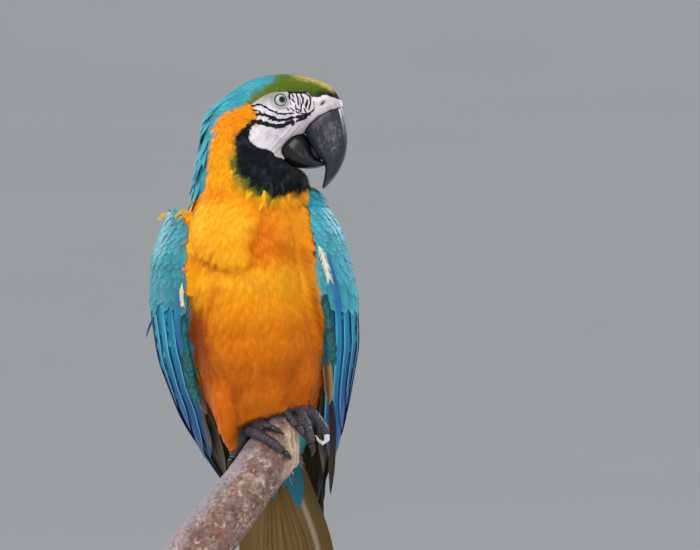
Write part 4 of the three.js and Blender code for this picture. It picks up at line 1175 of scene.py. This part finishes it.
WING_ROWS = [
    # top height, bottom height, row gap, feather width, feather length, tip stand (mm)
    (184, 150, 3.8, 6.4, 10, 1.1),
    (150, 130, 4.8, 8.0, 14, 1.3),
    (130, 115, 5.5, 11.0, 20, 1.8),
]
COVERT_PAINTED_LIGHT = {"right": 1.1, "left": 1.65}  # painted light: the left wing's coverts are drawn lighter than the right wing's
for side, (face, _) in WINGS.items():
    sign, rng = face.sign, wing_draws[side]
    height, share, wide, long, high = [], [], [], [], []
    for row_top, row_bottom, row_gap, width, length, stand in WING_ROWS:
        for r, h in enumerate(np.arange(row_top, row_bottom, -row_gap)):
            arc = np.interp(h, face.heights, face.arc)
            n = max(4, round(arc / (width * 0.72)))
            q = (np.arange(n) + (0.5 if r % 2 else 0.0)) / n
            height += list(h + rng.normal(0, row_gap * 0.12, n))
            share += list(q + rng.normal(0, 0.12 / n, n))
            wide += [width] * n
            long += list(length * rng.uniform(0.88, 1.1, n))
            high += [stand] * n
    height, share, wide, long, high = (np.array(v) for v in (height, share, wide, long, high))
    line, out = wing_lines(face, height, share, np.zeros(len(share)), long, 5)
    blade = vane(6, 7, 0.5, 0.5, camber=0.1, tilt=0.03 * sign)
    x, s = blade["edge"], blade["along"]
    base = plain("#2f8391", len(height))
    base = paint(base, "#3aa0b4", smooth(share, 0.2, 0.5))
    base = paint(base, "#2d84b6", smooth(share, 0.6, 0.85))
    # painted light: one wing's coverts are brighter than the other's
    base = base * COVERT_PAINTED_LIGHT[side]
    base = paint(base, "#5d7f9c", 0.5 * smooth(rng.random(len(height)), 0.75, 1.0) * smooth(share, 0.5, 0.3))
    base = base * rng.normal(1, 0.07, (len(height), 1))
    # painted shade: each covert darkens towards its root, under the row above
    colour = base[:, None] * (0.8 + 0.26 * smooth(s, 0.45, 1))[None, :, None]
    rim = np.maximum(smooth(np.abs(x), 0.6, 1.0), smooth(s, 0.82, 1.0))
    colour = paint(colour, "#8fd0dc", (0.16 * rim * smooth(s, 0.25, 0.6))[None])
    coverts = feather_mesh(f"wing_coverts_{side}", line, out, wide * MM, high * MM, colour, blade,
                           wing_cells(np.clip(share, 0, 1), height), root_stand=0.2)
    dress(coverts, vane_plumage)

# ---- Flanks ----
# Golden feathers of the flank lie over each wing's front edge and close the gap behind it. They take the
# colours of the body beside them.
# Where they lie: lowest and highest place, how many there are and how far they reach over the edge, in mm.
WING_MEETS = {"right": (117, 186, 500, 0.0), "left": (74, 192, 760, -1.0)}
for side, (face, _) in WINGS.items():
    sign, rng = face.sign, wing_draws[side]
    low, high, n, reach = WING_MEETS[side]
    height = rng.uniform(low, high, n)
    taper = smooth(height, low - 6, low + 30)
    long = rng.uniform(11, 16, n) * (0.5 + 0.5 * taper)
    inboard = rng.uniform(0.5 * long, 19, n) - reach + 4 * (1 - taper)
    rim, _ = face.at(height, np.zeros(n))
    steps = np.linspace(0, 1, 4)
    run = long[:, None] * steps
    offset = np.stack([sign * (0.62 * run - inboard[:, None]), 0 * run - 1.0, -0.78 * run], 2)
    line = rim[:, None] + offset * MM
    facing = np.tile(unit(np.array((sign * 0.3, -1, 0.15))), (n, 4, 1))
    for k in range(n):
        for j in range(4):
            hit, nor, _, _ = body.tree.ray_cast(Vector(line[k, j]) - Vector((0, 0.3, 0)), Vector((0, 1, 0)))
            if hit is not None and hit.y - 1.2 * MM < line[k, j, 1]:
                line[k, j, 1] = hit.y - 1.2 * MM
                facing[k, j] = unit(np.array(nor) * 0.6 + facing[k, j])
    start, _ = body.nearest(line[:, 0])
    tones = []
    for k in (0, 3):
        at = regions(line[:, k])
        at["wing"] = np.zeros(n)
        tones.append(markings(line[:, k], facing[:, k], at))
    blade = tuft(12, 0.7, 0.6, seed=9)
    tone = tones[0][:, None] + (tones[1] - tones[0])[:, None] * blade["along"][None, :, None]
    tone = tone * blade["shade"][None, :, None] * rng.normal(1, 0.03, (n, 1, 1))
    flank = feather_mesh(f"flank_feathers_{side}", line, facing, np.full(n, 5.4 * MM), np.full(n, 1.2 * MM),
                         tone, blade, unwrapped(start))
    dress(flank, soft_plumage)

# ---- Scaled wing edges ----
# Small green-blue feathers overlap like scales on the front rim of each wing below the arm.
SCALED_EDGE = {"right": (96, 38), "left": (112, 66)}  # highest and lowest place
SCALES_INBOARD = {"right": 3.0, "left": 1.5}  # mm in from the wing's rim
for side, (face, _) in WINGS.items():
    sign, rng = face.sign, wing_draws[side]
    height, share = [], []
    top, bottom = SCALED_EDGE[side]
    for r, h in enumerate(np.arange(top, bottom, -4.0)):
        n = 4
        height += [h + rng.normal(0, 1.0) for _ in range(n)]
        share += list(0.003 + (0.02 + 0.035 * smooth(h, top, top - 40))
                      * (np.arange(n) + (0.5 if r % 2 else 0)) / n)
    height, share = np.array(height), np.array(share)
    line, out = wing_lines(face, height, share, np.full(len(height), -0.01),
                           rng.uniform(8, 11, len(height)), 4)
    line += np.array((-sign * SCALES_INBOARD[side], -1.2, 0)) * MM
    small = vane(6, 6, 0.5, 0.6, point=0.6)
    base = plain("#1b6a6c", len(height)) * rng.normal(1, 0.16, (len(height), 1))
    # painted shade: each scale darkens towards its root and its sides, where its neighbours overlap it
    inward = 1 - 0.3 * smooth(np.abs(small["edge"]), 0.3, 1)
    colour = base[:, None] * ((0.4 + 0.75 * smooth(small["along"], 0.4, 0.95)) * inward)[None, :, None]
    n = len(height)
    # All of them lie close to the front edge, so their places on the unwrap are spread out.
    edge_scales = feather_mesh(f"wing_edge_{side}", line, out, np.full(n, 5.2 * MM), np.full(n, 3.2 * MM),
                               colour, small, wing_cells(0.03 + 5.3 * share, height), root_stand=0.7)
    dress(edge_scales, vane_plumage)

# ---- Flight feathers ----
# Long, stiff blades grow from the arm's rear edge and lie side by side down to the wing's tip. The outer
# layer is blue, and the undersides that show behind it are olive brown.
FLIGHT_TIPS = [(0, -110), (0.08, -118), (0.25, -142), (0.42, -152), (0.58, -128), (0.75, -98), (0.92, -75),
               (1, -60)]
STEPS = (-16, -22, 6, 24, -4, -40, -70, -110)  # heights of the front flight feathers' tips
for side, (face, back_face) in WINGS.items():
    sign, rng = face.sign, wing_draws[side]
    tips = np.array(FLIGHT_TIPS)
    for layer_name, which, many, width, colours in (
            ("flight_feathers", face, 17, 11.5, ("#178cb0", "#0f5090", "#62cae4", "#08293c", "#125898")),
            ("flight_undersides", back_face, 9, 18.0,
             ("#3d3218", "#2c2416", "#4c4022", "#6a5c40", "#302818"))):
        q = (np.arange(many) + 0.5) / many
        top = 128 - 18 * q
        bottom = np.interp(q, tips[:, 0], tips[:, 1]) + rng.normal(0, 2, many)
        if which is back_face:
            top, bottom = top - 20, bottom + 3
        # the long feathers are unequal, so their tips show one by one down the wing's edge
        if which is face:
            bottom[:len(STEPS)] = STEPS
        line, out = wing_lines(which, top, q, np.zeros(many), top - bottom, 26)
        blade = vane(10, 44, 0.22, 0.7, camber=0.05, tilt=0.07 * sign * (1 if which is face else -1),
                     point=0.7, taper=0.35)
        colour = blade_colour(blade, sign * (1 if which is face else -1), *colours, rng.normal(1, 0.06, many))
        room = np.interp((top + bottom) / 2, which.heights, which.arc) / many
        wide = np.maximum(width, 1.7 * room) * MM
        cells = np.stack([0.05 + 0.9 * (np.arange(many) + 0.5) / many, np.full(many, 0.03)], 1)
        flight = feather_mesh(f"{layer_name}_{side}", line, out, wide, np.full(many, 0.8 * MM), colour,
                              blade, cells, patch=(0.9 / many, 0.94), root_stand=0.3, roundness=0.25)
        dress(flight, vane_plumage)

# ---- Tail ----
# Twelve long, pointed feathers fold under the middle pair. They are blue above and olive gold below, with
# pale shafts, and soft turquoise coverts lie over their roots.
TAIL_LENGTH = 478
TAIL_ROOT = np.array((0, 64, 4.0))
TAIL_DOWN = unit(np.array((0.06, 0.27, -0.96)))
TAIL_ACROSS = unit(np.array((1, 0, 0.0625)))
TAIL_BACK = unit(np.cross(TAIL_ACROSS, TAIL_DOWN))
PAIRS = [
    # length, as a share of the longest, and outer edge, as a share of the fan
    (1, 0.36), (0.9, 0.55), (0.78, 0.7), (0.66, 0.82), (0.55, 0.92), (0.45, 1.0),
]
ROLL = math.radians(5)  # the body leans over its right foot


LEAN_HEIGHT = 56  # mm above the feet, where the lean turns the body


def turned(way):
    """A direction, or a place from the middle of the turn, after the body's lean."""
    x, y, z = np.moveaxis(way, -1, 0)
    c, s = math.cos(ROLL), math.sin(ROLL)
    return np.stack([x * c - z * s, y, z * c + x * s], -1)


def rolled(points):
    return turned(points - (0, 0, LEAN_HEIGHT)) + (-2, 0, LEAN_HEIGHT)


def tail_line(across, length, back):
    """A feather's line down the tail, from its place across it and how far back it lies, in mm."""
    down = np.linspace(0, length, 31)
    half = 20 + 18 * smooth(down, 15, 110)
    side = across * half / 38
    bow = back - 5 * (side / half) ** 2
    points = TAIL_ROOT + TAIL_DOWN * down[:, None] + TAIL_ACROSS * side[:, None] + TAIL_BACK * bow[:, None]
    return rolled(points) * MM + np.array(perch)


rng = np.random.default_rng(61)
for layer_name, flip, colours in (
        ("tail_upper_side", 1, ("#2a83b8", "#1c5f9c", "#3f9fc8", "#101820", "#2471ab")),
        ("tail_underside", -1, ("#6c5024", "#4a3c2c", "#766038", "#8a7656", "#5c481e"))):
    lines, wide, edge_side = [], [], []
    for k, (reach, edge) in enumerate(PAIRS):
        for sign in (-1, 1):
            back = (2.2 - 0.8 * k) + 0.3 * flip + (0.4 if sign > 0 and k == 0 else 0)
            lines.append(tail_line(sign * (edge * 38 - 9.5), TAIL_LENGTH * reach, back))
            wide.append((19 if flip > 0 else 21.5) * MM)
            edge_side.append(sign)
    line = np.array(lines)
    out = np.broadcast_to(turned(TAIL_BACK) * flip, line.shape)
    blade = vane(10, 60, 0.16, 0.8, camber=0.04 * flip, point=0.8, taper=0.25)
    colour = np.concatenate([blade_colour(blade, -sign * flip, *colours, rng.normal(1, 0.12, 1), 0.3)
                             for sign in edge_side])
    if flip < 0:
        pale = blade_colour(blade, 1, "#6c5024", "#56462e", "#766038", "#e0d8c8", "#5c481e", np.ones(1), 0.95)
        colour[-1] = pale[0]
    cells = np.stack([0.04 + 0.92 * (np.arange(12) + 0.5) / 12, np.full(12, 0.03)], 1)
    tail = feather_mesh(layer_name, line, out, np.array(wide), np.full(12, 0.1 * MM), colour, blade, cells,
                        patch=(0.9 / 12, 0.94), roundness=0.2)
    dress(tail, vane_plumage)
    if flip > 0:
        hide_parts("tail")

# soft coverts over the tail's root, above and below, with a few long ones below
SHORT_COVERTS = 70
LONG_COVERTS = ((16, 66, 17), (-12, 62, 14), (-3, 56, 15), (6, 48, 15))  # across, length and width in mm
for layer_name, flip, code in (("tail_coverts_upper", 1, "#2b86b4"), ("tail_coverts_lower", -1, "#10687e")):
    lines, wide = [], []
    for k in range(SHORT_COVERTS + (len(LONG_COVERTS) if flip < 0 else 0)):
        share = k / SHORT_COVERTS
        across = rng.uniform(-1, 1) * (26 - 8 * share)
        start = -26 + 44 * share * rng.uniform(0.7, 1.0)
        length = start + rng.uniform(22, 30)
        width = rng.uniform(10, 13)
        if k >= SHORT_COVERTS:
            across, length, width = LONG_COVERTS[k - SHORT_COVERTS]
            start = -10
        raise_off = (13 - 7 * min(share, 1)) * (1 if flip < 0 else 0.6)
        down = np.linspace(start, length, 9)
        points = (TAIL_ROOT + TAIL_DOWN * down[:, None] + TAIL_ACROSS * across
                  + TAIL_BACK * (flip * (raise_off * (1 - 0.5 * np.linspace(0, 1, 9)) + 2))[:, None])
        lines.append(rolled(points) * MM + np.array(perch))
        wide.append(width * MM)
    line = np.array(lines)
    out = np.broadcast_to(turned(TAIL_BACK) * flip, line.shape)
    blade = vane(6, 12, 0.3, 0.6, point=0.7, taper=0.3)
    base = plain(code, len(line)) * rng.normal(1, 0.09, (len(line), 1))
    coverts = feather_mesh(layer_name, line, out, np.array(wide), np.full(len(line), 1.2 * MM), base, blade,
                           unwrapped(line[:, 0]))
    dress(coverts, vane_plumage)

# ---- Loose feathers ----
# Single feathers out of place: yellow tufts at the shoulder and throat, cream ones at the front of the
# wings, blue, brown and gold ones beside the belly, black tips under the bib, and a thin dark one
# beside the right wing.
LOOSE = [
    # name, width, slot, root, tip, edge, shaft and inner colours, then the way across and up from the feet
    ("throat_feather", 3.4, "gold_plumage", ("#ffb406", "#fdb81e", "#ffd23a", "#f29a08", "#f9a80a"),
     [(2.4, 194), (2.0, 188), (0.4, 183), (-1.5, 178)]),
    ("shoulder_tuft_1", 6.0, "gold_plumage", ("#e2bb3c", "#e2bb3c", "#f6d860", "#caa020", "#eab01c"),
     [(-72, 176.5), (-76, 176), (-79, 174), (-81, 171)]),
    ("shoulder_tuft_2", 5.0, "gold_plumage", ("#e0a92c", "#e6bb3c", "#f6d860", "#caa020", "#eab01c"),
     [(-58, 179), (-62, 178.5), (-66, 176), (-68, 173)]),
    ("cream_feather_left", 9.0, "wing_plumage", ("#e6d9a6", "#efe6cf", "#fbf6e6", "#d8b860", "#e8c860"),
     [(44, 152), (47, 145), (50.5, 134), (54, 121)]),
    ("cream_feather_right", 6.0, "wing_plumage", ("#e4d3a0", "#ebdfc0", "#fbf6e6", "#d8b860", "#e8c860"),
     [(-61, 123), (-61.5, 116), (-61, 108), (-60, 103)]),
    ("deep_blue_left", 7.0, "wing_plumage", ("#2a86ac", "#1c5f9c", "#2a7cb0", "#184c7c", "#1c5c9c"),
     [(50.5, 143), (54, 128), (58.5, 111), (61.5, 98)]),
    ("deep_blue_right", 7.0, "wing_plumage", ("#237a98", "#1f5a94", "#286a9c", "#184874", "#1f5a94"),
     [(-64.5, 117), (-64.6, 100), (-63.6, 84), (-61.4, 66)]),
    ("olive_feather_left", 8.0, "wing_plumage", ("#4a3a26", "#5c4220", "#b88a34", "#2c2018", "#9a7434"),
     [(50, 66), (51, 54), (52, 42), (52.5, 27)]),
    ("brown_feather_left", 6.0, "wing_plumage", ("#1e160c", "#3a2b10", "#6c5118", "#140e08", "#1c140a"),
     [(54, 30), (55, 10), (54.5, -18), (53, -46)]),
    ("olive_feather_right", 6.5, "wing_plumage", ("#4c4c3c", "#5e5640", "#77694c", "#2c2a20", "#4a4232"),
     [(-53, 48), (-50.5, 38), (-47, 28), (-43.5, 19)]),
    ("brown_feather_right", 3.0, "wing_plumage", ("#5a4a3c", "#7a6350", "#8c7460", "#40322a", "#54443a"),
     [(-47, 24), (-45.5, 12), (-43, 0), (-40.5, -9)]),
    ("bib_tip_1", 3.2, "blue_plumage", ("#14161b", "#1c2028", "#262b34", "#0c0d10", "#14161b"),
     [(7.4, 200), (7.8, 196), (8.0, 192), (8.0, 188.5)]),
    ("bib_tip_2", 2.6, "blue_plumage", ("#14161b", "#1c2028", "#262b34", "#0c0d10", "#14161b"),
     [(15.5, 201), (16.2, 197), (16.4, 194), (16.2, 191)]),
    ("dark_feather_right", 2.0, "wing_plumage", ("#27406a", "#2c4a74", "#48689a", "#182a48", "#203864"),
     [(-84, 96), (-86.5, 91), (-88.5, 86), (-90, 80)]),
]


def plume(barbs, slant=0.22, seed=1):
    """A ragged feather: loose barbs on both sides of a thin shaft."""
    rng = np.random.default_rng(seed)
    t = np.linspace(0, 0.82, barbs)
    side = np.where(np.arange(barbs) % 2, 1, -1) * rng.uniform(0.45, 1, barbs)
    side = side * (1 - 0.4 * t) * smooth(t, -0.1, 0.2)
    end = np.minimum(t + slant * rng.uniform(0.3, 1.6, barbs), 1.15)
    foot = np.stack([t, t + 0.05], 1)
    foot = np.where(side[:, None] > 0, foot, foot[:, ::-1])
    along = np.column_stack([foot, end]).ravel()
    across = np.column_stack([0 * t, 0 * t, side]).ravel()
    lift = np.stack([0 * t, 0 * t, rng.uniform(-0.15, 0.2, barbs)], 1).ravel()
    shade = np.repeat(rng.uniform(0.8, 1.1, barbs), 3)
    return dict(along=np.clip(along, 0, 1), across=across, lift=lift, shade=shade,
                faces=np.arange(3 * barbs).reshape(-1, 3))


for name, width, slot_name, colours, path in LOOSE:
    depths = []
    for x, z in path:
        start = perch + Vector((x, -300, z)) * MM
        hits = [t.ray_cast(start, Vector((0, 1, 0)))[0] for t in (body.tree, NEAR_WINGS)]
        depths.append(min([(h - perch).y / MM for h in hits if h is not None], default=np.nan))
    depths = np.array(depths)
    met = np.flatnonzero(~np.isnan(depths))
    depths = np.interp(np.arange(len(path)), met, depths[met]) if len(met) else np.full(len(path), 8.0)
    middle = np.array([(x, min(depth, depths.mean() + 6) - 3.6, z) for (x, z), depth in zip(path, depths)])
    dense = np.linspace(0, len(middle) - 1, 13)
    line = np.stack([np.interp(dense, np.arange(len(middle)), middle[:, k]) for k in range(3)], 1)
    line[1:-1] = line[1:-1] / 2 + (line[:-2] + line[2:]) / 4
    line = line[None] * MM + np.array(perch)
    if name.startswith(("shoulder", "cream")):
        blade = plume(110, seed=len(name))
        colour = np.array([linear(colours[1])[:3]])
    else:
        blade = vane(8, 18, 0.35, 0.5, camber=0.05, point=0.8, taper=0.2)
        colour = blade_colour(blade, 1, *colours, np.ones(1))
    feather = feather_mesh(name, line, np.broadcast_to((0.0, -1.0, 0.0), line.shape), np.array([width * MM]),
                           np.array([0.4 * MM]), colour, blade, np.array([(0.5, 0.03)]), patch=(0.9, 0.94),
                           roundness=0.2)
    dress(feather, vane_plumage)

# ---- Bill ----
# Horn over bone: the upper bill hooks down over the lower one, with a bevelled ridge along its front, faint
# growth lines and worn, brownish flakes on its side. The ridge carries a painted highlight, and the groove
# beside it painted shade.
horn = new_material("bill_horn")
place = node(horn, "TexCoord").outputs["Object"]
worn = node(horn, "TexNoise", [(place, "Vector")], Scale=1 / (9 * MM), Detail=6.0, Roughness=0.7)
worn = node(horn, "MapRange", [(worn, "Value")], _1=0.5, _2=0.7, _4=0.45)
fine = node(horn, "TexNoise", [(place, "Vector")], Scale=1 / (1.6 * MM), Detail=4.0)
tint = node(horn, "VertexColor", layer_name="Horn")
marked = tint.outputs["Alpha"]  # how worn and scratched each place is
worn = node(horn, "Math", [(worn, 0), (fine, 1)], operation="MULTIPLY")
worn = node(horn, "Math", [(worn, 0), (marked, 1)], operation="MULTIPLY")
tone = node(horn, "Mix", [(worn, "Factor"), (tint, 6)], data_type="RGBA", _7=linear("#6e6262"))
scored = node(horn, "Mapping", [(place, "Vector")])
scored.inputs["Rotation"].default_value = (0, math.radians(38), 0)
scored.inputs["Scale"].default_value = (1, 1, 0.06)
scratch = node(horn, "TexNoise", [(scored, "Vector")], Scale=1 / (0.7 * MM), Detail=1.0)
scratch = node(horn, "MapRange", [(scratch, "Value")], _1=0.66, _2=0.74, _4=0.45)
scratch = node(horn, "Math", [(scratch, 0), (marked, 1)], operation="MULTIPLY")
tone = node(horn, "Mix", [(scratch, "Factor"), (tone.outputs[2], 6)], data_type="RGBA", _7=linear("#c2bcbc"))
bump = node(horn, "Bump", [(fine, "Height")], Strength=0.35, Distance=0.25 * MM)
rough = node(horn, "MapRange", [(worn, "Value")], _1=0.0, _2=0.4, _3=0.34, _4=0.6)
finished(horn, Base_Color=tone.outputs[2], Normal=bump, Roughness=rough, IOR=1.54, Specular_IOR_Level=0.35)
LOWER_BILL_WEAR = 0.12
for key in ("bill_upper", "bill_lower"):
    bill = joined_copy(f"{key}_horn", [key], 0.15 * MM)
    remesh(bill, 0.7 * MM)
    relax(bill.data, 0.5, 10)
    points, normals = arrays(bill.data)
    u, v, w = on_head(points).T
    front = np.clip(normals @ np.array(head_ahead) + 0.3 * np.abs(normals[:, 2]), 0, 1)
    upper = key == "bill_upper"
    ridge = smooth(np.abs(v), 4.2, 2.6) * smooth(front, 0.25, 0.6) * upper
    points += normals * (0.5 * ridge * MM)[:, None]
    put_points(bill.data, points)
    colour = plain("#262a34" if upper else "#0c0d10", len(u))
    bevel = np.exp(-((np.abs(v) - 4.6) / 0.9) ** 2) * smooth(front, 0.25, 0.6)
    flakes = smooth(patchy(points, 3, 40) + 0.8 * patchy(points, 1.1, 41), -0.1, 0.6)
    scuffs = smooth(np.hypot((u - 38) / 7, (w + 26) / 11), 1.2, 0.2)
    scrapes = smooth(patchy(points * np.array((1, 1, 0.5)), 1.6, 42), 0.15, 0.5)
    scraped = smooth(np.hypot((u - 33) / 9, (w + 35) / 8), 1.3, 0.2)
    # painted shade in the groove beside the ridge, and a painted highlight along the ridge itself
    colour = paint(colour, "#15161a", bevel * upper)
    colour = paint(colour, "#565b68", 0.8 * ridge)
    colour = paint(colour, "#857268", 0.6 * flakes * scuffs * upper)
    colour = paint(colour, "#9a989e", 0.5 * scrapes * scraped * upper)
    marks = smooth(np.hypot((u - 35) / 13, (w + 31) / 19), 1.3, 0.3) if upper else LOWER_BILL_WEAR
    store_colours(bill.data, "Horn", colour, marks)
    dress(bill, horn)
    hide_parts(key)

# ---- Tongue ----
# A thick, dry, dark tongue just shows between the two parts of the bill.
tongue = joined_copy("tongue_skin", ["tongue"], 0.1 * MM)
remesh(tongue, 0.8 * MM)
relax(tongue.data, 0.5, 6)
moist = new_material("dry_tongue_skin")
place = node(moist, "TexCoord").outputs["Object"]
grain = node(moist, "TexNoise", [(place, "Vector")], Scale=1 / (1.2 * MM), Detail=3.0)
tone = node(moist, "Mix", [(grain, "Factor")], data_type="RGBA", _6=linear("#141112"), _7=linear("#2c2424"))
bump = node(moist, "Bump", [(grain, "Height")], Strength=0.5, Distance=0.2 * MM)
dress(tongue, finished(moist, Base_Color=tone.outputs[2], Normal=bump, Roughness=0.6))
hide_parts("tongue")

# ---- Claws ----
# Curved black horn, polished by use. The outer front claw of the left foot is worn to white.
claw_looks = {}
for name, dark, pale, gloss in (("black_claw_horn", "#131315", "#2e2c30", 0.25),
                                ("worn_claw_horn", "#b9bcc0", "#eceeef", 0.35)):
    material = new_material(name)
    place = node(material, "TexCoord").outputs["Object"]
    grain = node(material, "TexNoise", [(place, "Vector")], Scale=1 / (1.5 * MM), Detail=3.0)
    tone = node(material, "Mix", [(grain, "Factor")], data_type="RGBA", _6=linear(dark), _7=linear(pale))
    bump = node(material, "Bump", [(grain, "Height")], Strength=0.2, Distance=0.1 * MM)
    claw_looks[name] = finished(material, Base_Color=tone.outputs[2], Normal=bump, Roughness=gloss, IOR=1.54)
for side in ("right", "left"):
    for toe in ("inner", "middle", "outer", "hind"):
        key = f"claw_{side}_{toe}"
        claw = joined_copy(f"{key}_horn", [key], 0.25 * MM)
        remesh(claw, 0.45 * MM)
        relax(claw.data, 0.5, 8)
        dress(claw, claw_looks["worn_claw_horn" if key == "claw_left_outer" else "black_claw_horn"])
        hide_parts(key)

# ---- Perch ----
# A short length of a dead branch: smooth, mottled bark worn by feet, and a broken upper end where the bark
# is gone and pale, fibrous wood shows.
BARK_SPOTS = [
    # colour and strength, then size in mm, seed and stretch of the spots, share, size and seed of their
    # ragged edges, and the levels where they begin and are full
    ("#b99a8b", 0.6, 9, 13, 1, 0.9, 2.4, 15, 0.0, 0.6),
    ("#54382f", 0.7, 11, 14, 1, 0.8, 3, 16, 0.05, 0.6),
    ("#d8c2b8", 0.75, 4, 22, 0.7, 0.7, 1.3, 23, 0.3, 0.75),
    ("#33221f", 0.7, 6, 24, 1, 0.9, 1.6, 25, 0.45, 0.9),
    ("#8c4a38", 0.5, 8, 18, 1, 0.6, 2.4, 15, 0.25, 0.6),
]
branch = joined_copy("perch_wood", ["perch_branch"])
remesh(branch, 1.3 * MM)
relax(branch.data, 0.5, 16)
points, normals = arrays(branch.data)
x, y, z = on_bird(points).T
broken = smooth(x + 4 * patchy(points, 8, 12), 17, 26)
lumps = 0.8 * patchy(points, 30, 3) + 0.45 * patchy(points, 9, 4) + 0.2 * patchy(points, 3, 5)
fibres = 1.6 * patchy(points * np.array((1, 1, 0.25)), 2.2, 9) + 1.2 * patchy(points, 7, 10)
points += normals * ((lumps * (1 - broken) + (fibres - 0.5) * broken) * MM)[:, None]
put_points(branch.data, points)
peel = smooth(x + 5 * patchy(points, 8, 12), 14, 24)
colour = plain("#80655a", len(points))
for code, strength, size, seed, squash, fine_share, fine_size, fine_seed, low, high in BARK_SPOTS:
    spots = patchy(points * np.array((1, 1, squash)), size, seed)
    spots += fine_share * patchy(points, fine_size, fine_seed)
    colour = paint(colour, code, strength * smooth(spots, low, high))
lit_side = normals[:, 2] - 0.4 * normals[:, 0] + 0.3 * patchy(points, 10, 17)
colour = paint(colour, "#8b8490", 0.7 * smooth(lit_side, 0.5, 0.95))  # painted highlight in grey on the upper side and on the side facing the key lamp
colour = paint(colour, "#d8bda4", peel * 0.85)
colour = paint(colour, "#9a7861", peel * smooth(patchy(points * np.array((1, 1, 0.3)), 4, 19), 0, 0.5) * 0.7)
store_colours(branch.data, "Bark", colour)
# Weathered bark: fine cracks and dust in millimetre grains, quite dull.
bark = new_material("weathered_bark")
tint = node(bark, "VertexColor", layer_name="Bark")
place = node(bark, "TexCoord").outputs["Object"]
grain = node(bark, "TexNoise", [(place, "Vector")], Scale=1 / (3 * MM), Detail=8.0, Roughness=0.78)
value = node(bark, "MapRange", [(grain, "Value")], _1=0.34, _2=0.66, _3=0.5, _4=1.4)
tone = node(bark, "HueSaturation", [(tint, "Color"), (value, "Value")])
bump = node(bark, "Bump", [(grain, "Height")], Strength=0.8, Distance=0.8 * MM)
dress(branch, finished(bark, Base_Color=tone, Normal=bump, Roughness=0.8))
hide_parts("perch_branch")
# torn fibres hang from the peeled edge
rng = np.random.default_rng(71)
edge = (x > 20) & (x < 34) & (normals[:, 1] < 0.2) & (normals[:, 0] > 0.3)
torn = [k for k in rng.permutation(len(points)) if edge[k]][:46]
heading = unit(normals[torn] * 0.5 + np.array((0.5, -0.3, -0.9)) + rng.normal(0, 0.35, (len(torn), 3)))
long = rng.uniform(3, 9, len(torn)) * MM
bend = np.linspace(0, 1, 5)
line = points[torn][:, None] + heading[:, None] * (long[:, None] * bend)[..., None]
line[..., 2] -= 2.0 * MM * bend ** 2
wide = rng.uniform(0.5, 1.3, len(torn)) * MM
splinters = feather_mesh("branch_splinters", line, np.repeat(normals[torn][:, None], 5, 1), wide,
                         np.zeros(len(torn)), plain("#cdb298", len(torn)), vane(2, 4, 0.8, 0.8),
                         unwrapped(points[torn]))
dry_fibre = new_material("dry_wood_fibre")
tint = node(dry_fibre, "VertexColor", layer_name="Plumage")
dress(splinters, finished(dry_fibre, Base_Color=tint, Roughness=0.85))

# ---- Stand ----
# A turned and oiled beech disc carries two brushed steel rods that run up into the underside of the branch.
beech = new_material("oiled_beech")
place = node(beech, "TexCoord").outputs["Object"]
long_grain = node(beech, "Mapping", [(place, "Vector")])
long_grain.inputs["Scale"].default_value = (1, 0.06, 1)
figure = node(beech, "TexNoise", [(long_grain, "Vector")], Scale=1 / (7 * MM), Detail=5.0)
tone = node(beech, "Mix", [(figure, "Factor")], data_type="RGBA", _6=linear("#9c7350"), _7=linear("#d3ad84"))
bump = node(beech, "Bump", [(figure, "Height")], Strength=0.15, Distance=0.2 * MM)
finished(beech, Base_Color=tone.outputs[2], Normal=bump, Roughness=0.42, Coat_Weight=0.2, Coat_Roughness=0.3)
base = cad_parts["stand_base"]
base.data.materials.clear()
dress(base, beech)
steel = new_material("brushed_steel")
place = node(steel, "TexCoord").outputs["Object"]
rings = node(steel, "Mapping", [(place, "Vector")])
rings.inputs["Scale"].default_value = (0.1, 0.1, 1)
brushing = node(steel, "TexNoise", [(rings, "Vector")], Scale=1 / (0.6 * MM), Detail=2.0)
rough = node(steel, "MapRange", [(brushing, "Value")], _3=0.24, _4=0.42)
finished(steel, Base_Color=linear("#b9bbbd"), Metallic=1.0, Roughness=rough)
for key in ("stand_rod_1", "stand_rod_2"):
    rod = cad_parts[key]
    rod.data.materials.clear()
    rod.data.materials.append(steel)
    rod.data.shade_smooth()

# ---- Sizes of the CAD parts and of what is drawn ----
size = {"cad": [list(c) for c in cad_box], "visual": [list(c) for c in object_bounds()]}
